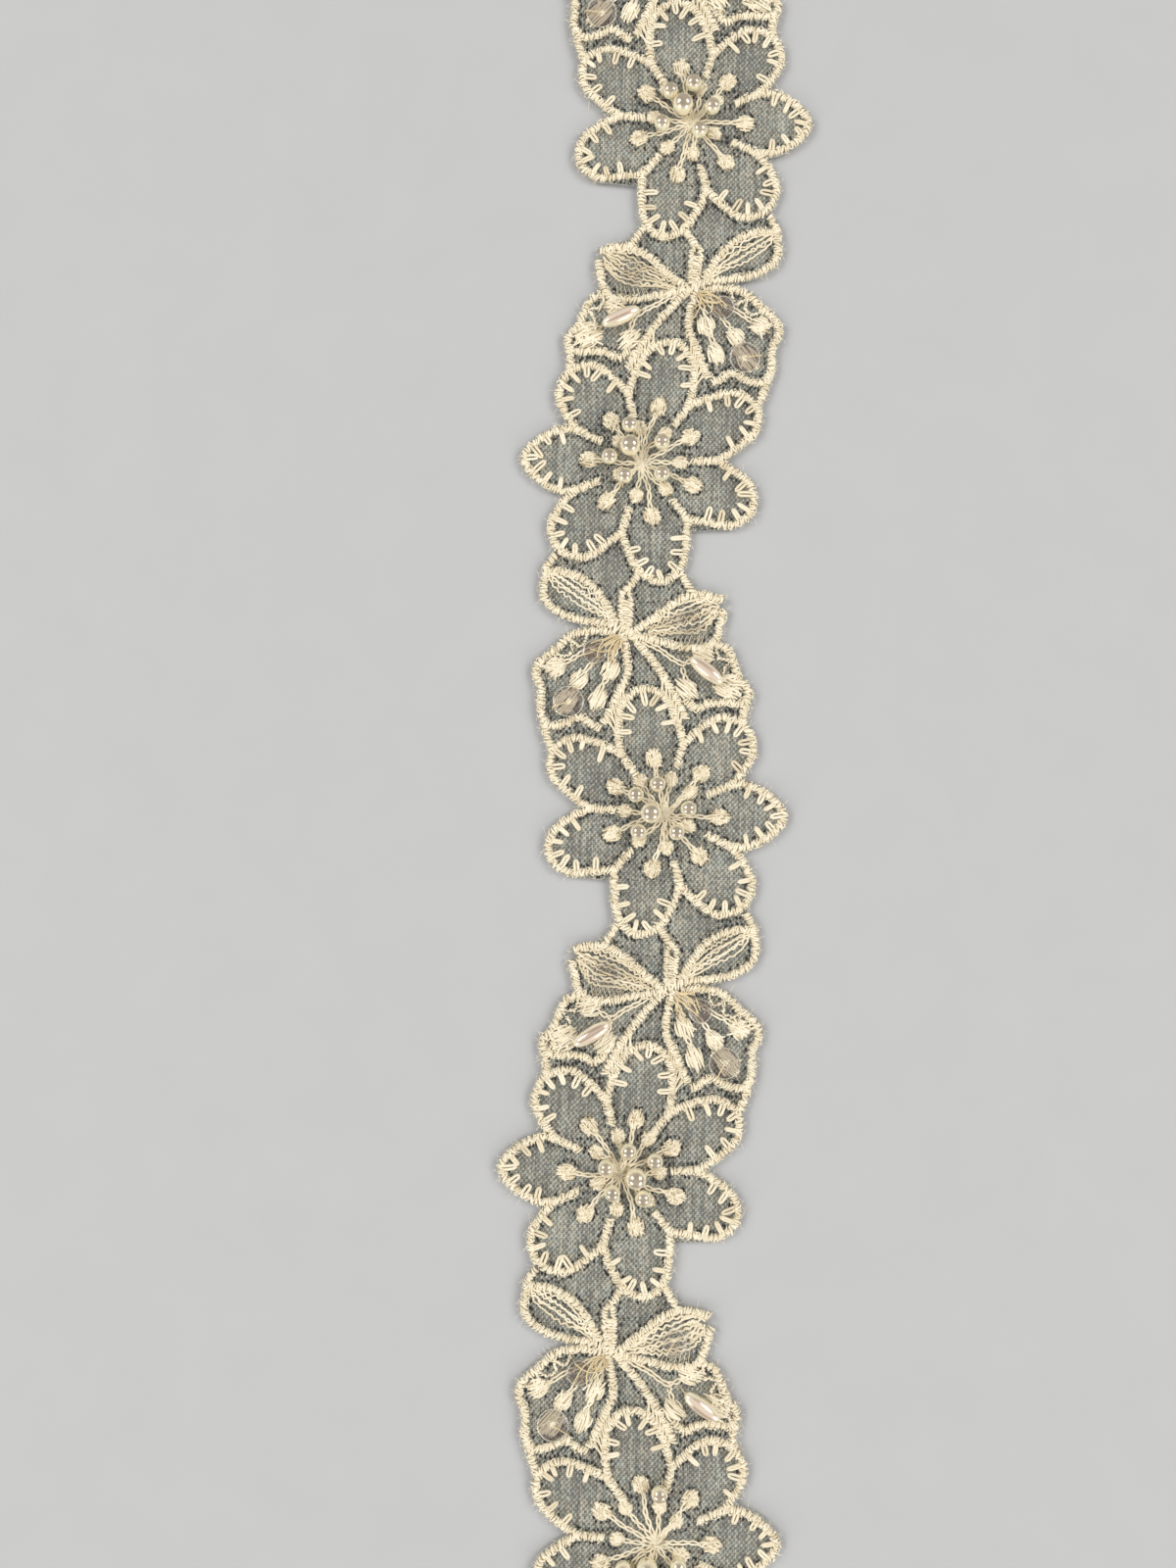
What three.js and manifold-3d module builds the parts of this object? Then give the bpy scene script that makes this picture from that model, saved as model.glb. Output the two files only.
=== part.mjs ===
// Beaded sequin edging: a cut length of sheer organza trim, machine embroidered in
// cord outline with one flower motif that is turned over at each repeat, trimmed close
// round the embroidery, and hand sewn with round pearls, rice pearls and clear sequins.
// Millimetres. X runs across the strip, Y along it, Z up from the flat back at z = 0.
import * as THREE from 'three';
import { mergeVertices } from 'three/addons/utils/BufferGeometryUtils.js';
import Module from 'manifold-3d';

const wasm = await Module();
wasm.setup();

// Strip
const MOTIF_COUNT = 5;
const PITCH = 60;
const FLOWER_OFFSET = 2.7;
const BOW = 1.6;
const BOW_AT = 120;
const SHEET_THICKNESS = 1.0;
const EDGE_MARGIN = 1.2;
const CLEARANCE = 0.3;

// Raised embroidery
const CORD_WIDTH = 1.4;
const CORD_RISE = 0.5;
const CORD_SUNK = 0.1;
const CORD_RUN_ON = [0.13, 0.34];
const CORD_STEP = 3.3;
const KNOB_RISE = 0.35;

// Sewn-on pieces
const PEARL_DIAMETER = 2.7;
const LARGE_PEARL_DIAMETER = 3.5;
const RICE_LENGTH = 6.8;
const RICE_DIAMETER = 2.5;
const SEQUIN_THICKNESS = 0.3;
const SEQUIN_HOLE = 1.1;
const SEAT_Z = SHEET_THICKNESS + CLEARANCE;

// Flower: each petal is a cord arch between two joints on the rays to its neighbours.
// Columns: axis angle in degrees, tip radius, half width, fullness of the shoulder.
const PETALS = [
  [101.5, 21.6, 5.1, 0.7],
  [49.5, 20.4, 5.2, 0.76],
  [0.5, 20.4, 5.3, 0.55],
  [-48.5, 20.6, 5.2, 0.76],
  [-101.5, 20.8, 5.1, 0.66],
  [-158.0, 20.4, 5.0, 0.72],
  [151.5, 21.6, 5.0, 0.72],
];
const PETAL_JOINT_RADIUS = 12.4;
const PETAL_SIDE_SHARE = 0.69;
const PETAL_SHOULDER_SHARE = 0.905;
const TAIL_END_RADIUS = 8.2;
const STAMEN_RADIUS = 9.3;
const STAMEN_KNOB = [2.8, 3.4];

// Leaves grow from the stem joint above the flower.
// Edge columns: share of the length, offset to the upper side, offset to the lower side.
const ALMOND_LEAF = {
  base: [-9.0, 32.4],
  angle: 145,
  length: 14.9,
  edge: [[0.0, 0.0, 0.6], [0.26, 1.7, 2.6], [0.55, 2.6, 4.3], [0.82, 1.7, 4.0], [1.0, 0.0, 0.0]],
};
const WEDGE_LEAF = {
  base: [-5.6, 30.5],
  angle: 14,
  length: 15.6,
  edge: [[0.0, 0.4, 0.4], [0.26, 2.2, 2.3], [0.52, 4.0, 4.2], [0.78, 4.3, 4.6], [1.0, 2.6, -0.6]],
};

// Bells are sprays that open from the stem joint down beside the top petal.
// Columns: angle in degrees round the stem joint, reach of the outline.
const STEM_JOINT = [-7.2, 30.4];
const SEQUIN_BELL = [
  [178, 2.0], [175, 5.4], [183, 9.3], [193, 12.0], [200, 15.6], [206, 16.8], [214, 17.0],
  [226, 20.0], [232, 20.2], [238, 18.2], [243, 16.0], [250, 16.4], [256, 16.6],
];
const RICE_BELL = [
  [-4, 14.2], [-7, 17.4], [-13, 18.8], [-19, 20.4], [-24, 23.2], [-29, 23.0], [-34, 20.0],
  [-40, 18.0], [-44.5, 17.7], [-46.5, 15.2],
];
// Columns: x, y, size across, size along, turn in degrees.
const BELL_KNOBS = [
  [-19.0, 24.4, 3.0, 3.4, 30],
  [-14.9, 22.4, 2.4, 3.2, -20],
  [-9.7, 24.3, 2.7, 3.6, -10],
  [-11.6, 19.3, 2.6, 3.6, -25],
  [6.1, 27.2, 2.8, 3.2, 40],
  [3.4, 21.4, 2.8, 3.2, 10],
  [11.2, 21.6, 3.0, 3.2, 50],
];

// Stems and links, as cords through a few points.
const LEFT_STEM = [[-7.8, 30.4], [-6.9, 26.6], [-6.8, 23.4], [-8.1, 20.6], [-9.4, 17.4], [-10.6, 15.2]];
const RIGHT_STEM = [[-6.4, 30.2], [-3.4, 27.0], [-0.8, 23.7], [1.4, 20.2], [3.4, 16.4]];
const BULB = { top: [-7.5, 38.2], foot: [-7.3, 31.4], width: 1.5 };
const NECK = [[-7.4, 38.0], [-6.2, 39.6], [-5.0, 41.6]];
const LEAF_LINK = [[-21.3, 41.0], [-20.6, 42.4], [-19.8, 43.6]];
const WEDGE_LINK = [[4.0, 37.6], [2.9, 39.4], [1.8, 41.2]];
const SEQUIN_BELL_LINK = [[-20.7, 15.8], [-20.3, 13.4], [-19.2, 10.6]];
const RICE_BELL_LINK = [[13.7, 19.4], [13.2, 17.6], [13.3, 15.6]];

// Bare organza between the embroidered shapes: inside the flower head and in the waist.
const THROAT = [
  [-8.5, 31.5], [-3.5, 30.2], [5.0, 25.0], [14.6, 19.4], [14.2, 17.4], [14.2, 14.6], [0.0, 12.0],
  [-12.0, 11.0], [-20.2, 10.2], [-21.3, 13.2], [-21.7, 15.8], [-11.0, 22.0],
];
const WAIST = [
  [-21.4, 41.4], [-20.2, 44.6], [-10.0, 48.0], [2.6, 45.4], [2.6, 41.6], [4.8, 37.4], [-3.0, 32.0],
  [-10.0, 32.6], [-15.0, 39.0],
];
const TOP_CUT = 42.2;
const BOTTOM_CUT = -21.9;

// Pearls of each flower as sewn by hand, the large one first. Columns: x, y for six pearls.
const PEARLS = [
  [[-1.6, 1.8], [0.0, 5.8], [-3.9, 4.3], [3.5, 1.8], [-5.0, -1.4], [1.5, -2.4]],
  [[2.4, 2.3], [2.6, 6.0], [-3.0, 3.2], [5.8, 0.4], [-3.2, -2.3], [3.1, -2.8]],
  [[-2.1, 0.1], [-1.1, 5.0], [-4.7, 3.1], [4.2, 1.0], [-4.1, -3.1], [2.3, -3.0]],
  [[-2.1, -0.4], [-0.8, 3.9], [-5.2, 2.4], [2.9, 1.1], [-3.3, -3.7], [1.8, -3.0]],
  [[-1.0, -3.2], [1.0, 8.6], [-4.9, -3.6], [4.1, -2.9], [-1.4, -6.7], [2.7, -6.0]],
];
// One rice pearl to a motif. Columns: x, y, turn in degrees.
const RICE_PEARLS = [
  [6.2, 23.8, -33],
  [5.0, 24.6, -26],
  [6.5, 24.4, -37],
  [5.7, 23.0, -33],
  [7.9, 22.8, -35],
];
// Columns: x, y, diameter.
const SEQUINS = [
  [-12.4, 27.2, 4.0],
  [-16.6, 18.6, 5.2],
  [3.4, 32.6, 4.0],
];

const THREAD_COLOUR = 0xe9dfc4;
const PEARL_COLOUR = 0xe2cfc4;
const RICE_COLOUR = 0xd8c4bc;
const SEQUIN_COLOUR = 0xdfe3e4;

const rad = THREE.MathUtils.degToRad;
const polar = (angle, radius) => [radius * Math.cos(rad(angle)), radius * Math.sin(rad(angle))];

// A point of motif n, counted from the top, in the strip: mirrored on every second motif.
function place([x, y], n) {
  const side = n % 2 === 0 ? 1 : -1;
  const along = y + PITCH * ((MOTIF_COUNT - 1) / 2 - n);
  return [side * (x + FLOWER_OFFSET) + BOW * (along / BOW_AT) ** 2, along];
}

// Angle of the ray between petal i and the next one.
function rayAfter(i) {
  const here = PETALS[i][0];
  const next = PETALS[(i + 1) % PETALS.length][0];
  return here - (((here - next) % 360) + 360) % 360 / 2;
}

// The seven points a petal's arch runs through, joint to joint over the tip.
function petalArch(i) {
  const [axis, tip, half, full] = PETALS[i];
  const inFrame = (along, across) => {
    const c = Math.cos(rad(axis));
    const s = Math.sin(rad(axis));
    return [along * c - across * s, along * s + across * c];
  };
  return [
    polar(rayAfter((i + PETALS.length - 1) % PETALS.length), PETAL_JOINT_RADIUS),
    inFrame(tip * PETAL_SIDE_SHARE, half),
    inFrame(tip * PETAL_SHOULDER_SHARE, half * full),
    inFrame(tip, 0),
    inFrame(tip * PETAL_SHOULDER_SHARE, -half * full),
    inFrame(tip * PETAL_SIDE_SHARE, -half),
    polar(rayAfter(i), PETAL_JOINT_RADIUS),
  ];
}

// One edge of a leaf from base to tip, on the upper side (+1) or the lower side (-1).
function leafEdge(leaf, side) {
  const c = Math.cos(rad(leaf.angle));
  const s = Math.sin(rad(leaf.angle));
  const hand = c < 0 ? -side : side;
  return leaf.edge.map(([share, upper, lower]) => {
    const across = hand * (side > 0 ? upper : lower);
    const along = share * leaf.length;
    return [leaf.base[0] + along * c - across * s, leaf.base[1] + along * s + across * c];
  });
}

const fan = (rows) => rows.map(([angle, reach]) => {
  const [x, y] = polar(angle, reach);
  return [STEM_JOINT[0] + x, STEM_JOINT[1] + y];
});

// Half of the bulb's loop, right (+1) or left (-1), from its foot to its top.
function bulbSide(side) {
  const shares = [0, 0.35, 0.7, 1];
  const widths = [0.12, 0.42, 0.5, 0.1];
  return shares.map((t, k) => [
    BULB.foot[0] + t * (BULB.top[0] - BULB.foot[0]) + side * widths[k] * BULB.width,
    BULB.foot[1] + t * (BULB.top[1] - BULB.foot[1]),
  ]);
}

function smooth(points) {
  return new THREE.CatmullRomCurve3(points.map(([x, y]) => new THREE.Vector3(x, y, SHEET_THICKNESS)));
}

// Evenly spaced points of a smooth path, about one cord step apart.
function spaced(points, step) {
  const curve = smooth(points);
  const count = Math.max(2, Math.round(curve.getLength() / step));
  return curve.getSpacedPoints(count).map((p) => [p.x, p.y]);
}

function solid(geometry) {
  geometry.deleteAttribute('normal');
  geometry.deleteAttribute('uv');
  const joined = mergeVertices(geometry, 1e-4);
  return new wasm.Manifold(new wasm.Mesh({
    numProp: 3,
    vertProperties: new Float32Array(joined.attributes.position.array),
    triVerts: new Uint32Array(joined.index.array),
  }));
}

// A flat region of the sheet: the closed outline pushed out by the margin and raised.
function region(points, margin) {
  const pts = points.map(([x, y]) => new THREE.Vector2(x, y));
  const turn = Math.sign(THREE.ShapeUtils.area(pts));
  const grown = pts.map((p, k) => {
    const before = pts[(k + pts.length - 1) % pts.length];
    const after = pts[(k + 1) % pts.length];
    const heading = after.clone().sub(before).normalize();
    return new THREE.Vector2(p.x + turn * margin * heading.y, p.y - turn * margin * heading.x);
  });
  const shape = new THREE.Shape(grown);
  return solid(new THREE.ExtrudeGeometry(shape, { depth: SHEET_THICKNESS, bevelEnabled: false }));
}

// A raised cord: a roof section carried along the path, its foot sunk into the sheet.
// Each end runs on a little way into the cord that it meets.
function cord(points) {
  const foot = CORD_WIDTH * (CORD_RISE + CORD_SUNK) / CORD_RISE / 2;
  const roof = new THREE.Shape([
    new THREE.Vector2(CORD_SUNK, -foot),
    new THREE.Vector2(CORD_SUNK, foot),
    new THREE.Vector2(-CORD_RISE, 0),
  ]);
  const runOn = ([x, y], [fromX, fromY], length) => {
    const reach = Math.hypot(x - fromX, y - fromY);
    return [x + (x - fromX) * length / reach, y + (y - fromY) * length / reach];
  };
  const last = points.length - 1;
  const path = smooth([
    runOn(points[0], points[1], CORD_RUN_ON[0]),
    ...points.slice(1, last),
    runOn(points[last], points[last - 1], CORD_RUN_ON[1]),
  ]);
  const steps = Math.max(2, Math.round(path.getLength() / CORD_STEP));
  return solid(new THREE.ExtrudeGeometry(roof, { steps, extrudePath: path }));
}

// A satin knob: a low six-sided mound.
function knob([x, y], across, along, turn) {
  const mound = new THREE.ConeGeometry(0.58, KNOB_RISE + CORD_SUNK, 6);
  mound.rotateX(Math.PI / 2);
  mound.scale(across, along, 1);
  mound.rotateZ(rad(turn));
  mound.translate(x, y, SHEET_THICKNESS + (KNOB_RISE - CORD_SUNK) / 2);
  return solid(mound);
}

const joinAll = (solids) => solids.reduce((a, b) => a.add(b));

// The shapes that one motif's piece of organza is cut round.
function motifRegions(n) {
  const at = (points) => points.map((p) => place(p, n));
  const regions = [region(at(THROAT), 0), region(at(WAIST), 0)];
  PETALS.forEach((row, i) => {
    regions.push(region(at([[0, 0], ...spaced(petalArch(i), CORD_STEP)]), EDGE_MARGIN));
  });
  [ALMOND_LEAF, WEDGE_LEAF].forEach((leaf) => {
    const upper = spaced(leafEdge(leaf, 1), CORD_STEP);
    const lower = spaced(leafEdge(leaf, -1), CORD_STEP);
    regions.push(region(at([...upper, ...lower.reverse().slice(1)]), EDGE_MARGIN));
  });
  [SEQUIN_BELL, RICE_BELL].forEach((rows) => {
    regions.push(region(at([STEM_JOINT, ...spaced(fan(rows), CORD_STEP)]), EDGE_MARGIN));
  });
  return regions;
}

// The raised cords and knobs of one motif.
function motifRelief(n) {
  const at = (points) => points.map((p) => place(p, n));
  const side = n % 2 === 0 ? 1 : -1;
  const raised = [];
  PETALS.forEach((row, i) => {
    const ray = rayAfter(i);
    raised.push(cord(at(petalArch(i))));
    raised.push(cord(at([polar(ray, PETAL_JOINT_RADIUS + 0.4), polar(ray, TAIL_END_RADIUS)])));
    const tip = place(polar(row[0], STAMEN_RADIUS), n);
    raised.push(knob(tip, STAMEN_KNOB[0], STAMEN_KNOB[1], side * (row[0] - 90)));
  });
  [ALMOND_LEAF, WEDGE_LEAF].forEach((leaf) => {
    raised.push(cord(at(leafEdge(leaf, 1))));
    raised.push(cord(at(leafEdge(leaf, -1))));
  });
  raised.push(cord(at(fan(SEQUIN_BELL))));
  raised.push(cord(at(fan(RICE_BELL))));
  raised.push(cord(at(LEFT_STEM)));
  raised.push(cord(at(RIGHT_STEM)));
  raised.push(cord(at(SEQUIN_BELL_LINK)));
  raised.push(cord(at(RICE_BELL_LINK)));
  raised.push(cord(at(bulbSide(1))));
  raised.push(cord(at(bulbSide(-1))));
  BELL_KNOBS.forEach(([x, y, across, along, turn]) => {
    raised.push(knob(place([x, y], n), across, along, side * turn));
  });
  if (n > 0) {
    raised.push(cord(at(NECK)));
    raised.push(cord(at(LEAF_LINK)));
    raised.push(cord(at(WEDGE_LINK)));
  }
  return raised;
}

// The outer edge of a flat body, walked round the feet of its walls.
function outerEdge(body) {
  const { vertProperties, triVerts } = body.getMesh();
  const isFoot = (v) => vertProperties[3 * v + 2] < SHEET_THICKNESS / 2;
  const next = new Map();
  for (let t = 0; t < triVerts.length; t += 3) {
    const corners = [triVerts[t], triVerts[t + 1], triVerts[t + 2]];
    if (corners.filter(isFoot).length === 2) {
      const k = [0, 1, 2].find((j) => isFoot(corners[j]) && isFoot(corners[(j + 1) % 3]));
      next.set(corners[k], corners[(k + 1) % 3]);
    }
  }
  let longest = [];
  while (next.size > 0) {
    const loop = [];
    let v = next.keys().next().value;
    while (next.has(v)) {
      const following = next.get(v);
      next.delete(v);
      loop.push(new THREE.Vector2(vertProperties[3 * v], vertProperties[3 * v + 1]));
      v = following;
    }
    longest = loop.length > longest.length ? loop : longest;
  }
  return longest.filter((p, k) => p.distanceTo(longest[(k + 1) % longest.length]) > 0.3);
}

// The organza with its relief, cut straight across at both ends.
function ground() {
  const regions = [];
  const relief = [];
  for (let n = 0; n < MOTIF_COUNT; n += 1) {
    regions.push(...motifRegions(n));
    relief.push(...motifRelief(n));
  }
  const outline = new THREE.Shape(outerEdge(joinAll(regions)));
  const sheet = solid(new THREE.ExtrudeGeometry(outline, { depth: SHEET_THICKNESS, bevelEnabled: false }));
  const top = place([0, TOP_CUT], 0)[1];
  const bottom = place([0, BOTTOM_CUT], MOTIF_COUNT - 1)[1];
  const keep = new THREE.BoxGeometry(2 * PITCH, top - bottom, 10);
  keep.translate(0, (top + bottom) / 2, 0);
  return joinAll([sheet, ...relief]).intersect(solid(keep));
}

function toGeometry(body) {
  const mesh = body.getMesh();
  const geometry = new THREE.BufferGeometry();
  geometry.setAttribute('position', new THREE.BufferAttribute(new Float32Array(mesh.vertProperties), 3));
  geometry.setIndex(new THREE.BufferAttribute(new Uint32Array(mesh.triVerts), 1));
  geometry.computeVertexNormals();
  return geometry;
}

const strip = new THREE.Group();
strip.name = 'beaded_sequin_edging';

function add(name, geometry, colour, roughness) {
  const material = new THREE.MeshStandardMaterial({ color: colour, roughness });
  material.name = name;
  const mesh = new THREE.Mesh(geometry, material);
  mesh.name = name;
  strip.add(mesh);
}

add('embroidered_ground', toGeometry(ground()), THREAD_COLOUR, 0.85);

for (let n = 0; n < MOTIF_COUNT; n += 1) {
  const side = n % 2 === 0 ? 1 : -1;
  PEARLS[n].forEach((point, k) => {
    const radius = (k === 0 ? LARGE_PEARL_DIAMETER : PEARL_DIAMETER) / 2;
    const pearl = new THREE.SphereGeometry(radius, 9, 6);
    pearl.rotateX(Math.PI / 2);
    const [x, y] = place(point, n);
    pearl.translate(x, y, SEAT_Z + radius);
    add(`pearl_${n + 1}_${k + 1}`, pearl, PEARL_COLOUR, 0.3);
  });

  const rice = new THREE.SphereGeometry(0.5, 9, 7);
  rice.rotateZ(Math.PI / 2);
  rice.scale(RICE_LENGTH, RICE_DIAMETER, RICE_DIAMETER);
  const riceTurn = RICE_PEARLS[n][2];
  rice.rotateZ(rad(side > 0 ? riceTurn : 180 - riceTurn));
  const [riceX, riceY] = place(RICE_PEARLS[n], n);
  rice.translate(riceX, riceY, SEAT_Z + RICE_DIAMETER / 2);
  add(`rice_pearl_${n + 1}`, rice, RICE_COLOUR, 0.3);

  SEQUINS.forEach(([x, y, diameter], k) => {
    const inner = SEQUIN_HOLE / 2;
    const outer = diameter / 2;
    const ring = new THREE.LatheGeometry([
      new THREE.Vector2(inner, 0),
      new THREE.Vector2(outer, 0),
      new THREE.Vector2(outer, SEQUIN_THICKNESS),
      new THREE.Vector2(inner, SEQUIN_THICKNESS),
      new THREE.Vector2(inner, 0),
    ], 12);
    ring.rotateX(Math.PI / 2);
    const [sequinX, sequinY] = place([x, y], n);
    ring.translate(sequinX, sequinY, SEAT_Z);
    add(`sequin_${n + 1}_${k + 1}`, ring, SEQUIN_COLOUR, 0.15);
  });
}

// The origin is under the middle of the strip's own box.
const box = new THREE.Box3().setFromObject(strip);
strip.children.forEach((mesh) => {
  mesh.geometry.translate(-(box.min.x + box.max.x) / 2, -(box.min.y + box.max.y) / 2, -box.min.z);
});

export default strip;
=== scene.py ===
import math

import bpy
import numpy as np
from mathutils import Matrix, Vector


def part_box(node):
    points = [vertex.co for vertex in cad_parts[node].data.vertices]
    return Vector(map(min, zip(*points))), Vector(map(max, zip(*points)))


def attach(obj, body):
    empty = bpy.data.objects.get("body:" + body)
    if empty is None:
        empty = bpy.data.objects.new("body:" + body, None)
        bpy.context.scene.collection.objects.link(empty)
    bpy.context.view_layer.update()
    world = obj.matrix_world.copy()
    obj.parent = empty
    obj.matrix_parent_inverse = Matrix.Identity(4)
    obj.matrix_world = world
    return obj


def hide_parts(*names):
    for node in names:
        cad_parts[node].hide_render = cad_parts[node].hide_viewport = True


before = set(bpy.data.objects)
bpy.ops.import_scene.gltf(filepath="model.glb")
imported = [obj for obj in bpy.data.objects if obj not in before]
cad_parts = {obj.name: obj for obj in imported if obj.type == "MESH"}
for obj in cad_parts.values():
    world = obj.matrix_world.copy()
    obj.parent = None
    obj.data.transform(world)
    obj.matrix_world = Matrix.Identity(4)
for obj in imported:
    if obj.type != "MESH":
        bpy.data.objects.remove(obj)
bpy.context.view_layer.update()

# Studio: a plain pale floor under the strip, soft daylight all round and four large soft
# lamps that stand well off to its sides.
FLOOR_GREY, FLOOR_REACH = (0.49, 0.494, 0.50), 4.0
DAYLIGHT, DAYLIGHT_TINT, LAMP_TINT = 0.42, (1.0, 0.99, 0.97, 1.0), (1.0, 0.99, 0.965)
LAMP_SIZE = 0.8
LAMP_PAIRS = [(1.01, 0.36, 0.90, 8.8), (0.91, -0.91, 0.58, 6.4)]  # x to either side, y, z in metres, watts


def add_object(name, data):
    """A new object of some data, put into the scene."""
    thing = bpy.data.objects.new(name, data)
    bpy.context.collection.objects.link(thing)
    return thing


def new_finish(name):
    """An empty finish: the material, its shader and its Object coordinates."""
    finish = bpy.data.materials.new(name)
    finish.use_nodes = True
    nodes = finish.node_tree.nodes
    return finish, nodes["Principled BSDF"], nodes.new("ShaderNodeTexCoord").outputs["Object"]


def wire(node, inputs):
    """Sets inputs of a node, by name or place: each is linked to a socket or takes a plain value."""
    for name, value in inputs.items():
        if isinstance(value, bpy.types.NodeSocket):
            node.id_data.links.new(value, node.inputs[name])
        else:
            node.inputs[name].default_value = value
    return node


def add_node(beside, kind, inputs):
    """A new shader node of a kind, in the same tree as another node or socket, with its inputs wired."""
    return wire(beside.id_data.nodes.new("ShaderNode" + kind), inputs)


def mapped(coords, name, amounts):
    """Coordinates put through a mapping: its Scale or its Rotation, by name, is set to three amounts."""
    return add_node(coords, "Mapping", {"Vector": coords, name: amounts}).outputs["Vector"]


def lumps(coords, per_metre, detail=2.0, stretch=(1, 1, 1)):
    """Soft lumps, so many to the metre, with each axis stretched by its own share."""
    inputs = {"Vector": mapped(coords, "Scale", stretch), "Scale": per_metre, "Detail": detail}
    return add_node(coords, "TexNoise", inputs).outputs["Fac"]


def ramp(share, stops):
    """A run of colours over a share from 0 to 1: stops are (place, colour)."""
    node = add_node(share, "ValToRGB", {"Fac": share})
    bar = node.color_ramp
    while len(bar.elements) < len(stops):
        bar.elements.new(0.5)
    for element, (place_at, colour) in zip(bar.elements, stops):
        element.position = place_at
        element.color = (*colour, 1.0)
    return node.outputs["Color"]


floor_mesh = bpy.data.meshes.new("floor")
corners = [(x * FLOOR_REACH, y * FLOOR_REACH, 0) for x, y in [(-1, -1), (1, -1), (1, 1), (-1, 1)]]
floor_mesh.from_pydata(corners, [], [(0, 1, 2, 3)])
floor = add_object("floor", floor_mesh)
floor_finish, shader, coords = new_finish("floor_paper")
paper = [(0.3, [0.985 * c for c in FLOOR_GREY]), (0.7, FLOOR_GREY)]
wire(shader, {"Base Color": ramp(lumps(coords, 90.0), paper), "Roughness": 0.9})
floor_mesh.materials.append(floor_finish)

world = bpy.data.worlds.new("daylight")
world.use_nodes = True
wire(world.node_tree.nodes["Background"], {"Color": DAYLIGHT_TINT, "Strength": DAYLIGHT})
bpy.context.scene.world = world
bpy.context.scene.view_settings.view_transform = "Standard"
lamps = [(Vector((side * x, y, z)), watts) for x, y, z, watts in LAMP_PAIRS for side in (-1, 1)]
for k, (place, watts) in enumerate(lamps):
    lamp = bpy.data.lights.new(f"lamp_{k + 1}", "AREA")
    lamp.shape = "DISK"
    lamp.size = LAMP_SIZE
    lamp.energy = watts
    lamp.color = LAMP_TINT
    lamp_object = add_object(lamp.name, lamp)
    lamp_object.location = place
    lamp_object.rotation_mode = "QUATERNION"
    lamp_object.rotation_quaternion = (-place).to_track_quat("-Z", "Y")
    lamp_object.visible_camera = False


# Organza ground: one length of sheer plain-weave organza, a little slack between the stitches.
# It is trimmed close round the embroidered motif, which is turned over at each repeat, and
# its cut edge is frayed.
MOTIFS = 5
PITCH = 60.0
FLOWER_OFFSET = 2.7
BOW, BOW_AT = 1.6, 120.0
PETALS = np.array([  # axis angle, tip radius, half width, fullness of the shoulder
    (101.5, 21.6, 5.1, 0.70),
    (49.5, 20.4, 5.2, 0.76),
    (0.5, 20.4, 5.3, 0.55),
    (-48.5, 20.6, 5.2, 0.76),
    (-101.5, 20.8, 5.1, 0.66),
    (-158.0, 20.4, 5.0, 0.72),
    (151.5, 21.6, 5.0, 0.72),
])
PETAL_JOINT_RADIUS = 12.4
PETAL_SIDE_SHARE, PETAL_SHOULDER_SHARE = 0.69, 0.905
TAIL_OVERLAP, TAIL_END_RADIUS = 0.4, 8.2
ALMOND_LEAF = dict(  # edge: share of the length, offset to the upper side, to the lower side
    base=(-9.0, 32.4), angle=145, length=14.9,
    edge=[(0.0, 0.0, 0.6), (0.26, 1.7, 2.6), (0.55, 2.6, 4.3), (0.82, 1.7, 4.0), (1.0, 0.0, 0.0)],
)
WEDGE_LEAF = dict(
    base=(-5.6, 30.5), angle=14, length=15.6,
    edge=[(0.0, 0.4, 0.4), (0.26, 2.2, 2.3), (0.52, 4.0, 4.2), (0.78, 4.3, 4.6), (1.0, 2.6, -0.6)],
)
STEM_JOINT = np.array((-7.2, 30.4))
SEQUIN_BELL = [  # angle round the stem joint, reach
    (178, 2.0), (175, 5.4), (183, 9.3), (193, 12.0), (200, 15.6), (206, 16.8), (214, 17.0),
    (226, 20.0), (232, 20.2), (238, 18.2), (243, 16.0), (250, 16.4), (256, 16.6),
]
RICE_BELL = [  # angle round the stem joint, reach
    (-4, 14.2), (-7, 17.4), (-13, 18.8), (-19, 20.4), (-24, 23.2), (-29, 23.0), (-34, 20.0),
    (-40, 18.0), (-44.5, 17.7), (-46.5, 15.2),
]
LEFT_STEM = [(-7.8, 30.4), (-6.9, 26.6), (-6.8, 23.4), (-8.1, 20.6), (-9.4, 17.4), (-10.6, 15.2)]
RIGHT_STEM = [(-6.4, 30.2), (-3.4, 27.0), (-0.8, 23.7), (1.4, 20.2), (3.4, 16.4)]
BULB_TOP, BULB_FOOT, BULB_WIDTH = np.array((-7.5, 38.2)), np.array((-7.3, 31.4)), 1.5
NECK = [(-7.4, 38.0), (-6.2, 39.6), (-5.0, 41.6)]
LEAF_LINK = [(-21.3, 41.0), (-20.6, 42.4), (-19.8, 43.6)]
WEDGE_LINK = [(4.0, 37.6), (2.9, 39.4), (1.8, 41.2)]
SEQUIN_BELL_LINK = [(-20.7, 15.8), (-20.3, 13.4), (-19.2, 10.6)]
RICE_BELL_LINK = [(13.7, 19.4), (13.2, 17.6), (13.3, 15.6)]
TOP_CUT = 42.2
FIRST_SEQUIN = (-12.4, 27.2)
CURVE_STEPS, OUTLINE_STEP = 24, 0.3
ORGANZA_Z, ORGANZA_THICKNESS, ORGANZA_MARGIN, END_INSET = 0.80, 0.12, 0.85, 0.02
ORGANZA_SLACK, SLACK_REACH = 0.07, 2.2
ORGANZA_ROW, ORGANZA_COLUMNS, ROWS_AT_ONCE, NEARBY = 0.55, 76, 24, 15.0
PRICKS_PER_METRE, PRICK_STRETCH, PRICK_SIZE = 1450.0, (1.0, 0.62, 1.0), (0.35, 0.27)
PRICKS_FROM, PRICKS_TO = (0.70, 0.78), (1.50, 1.25)
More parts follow.
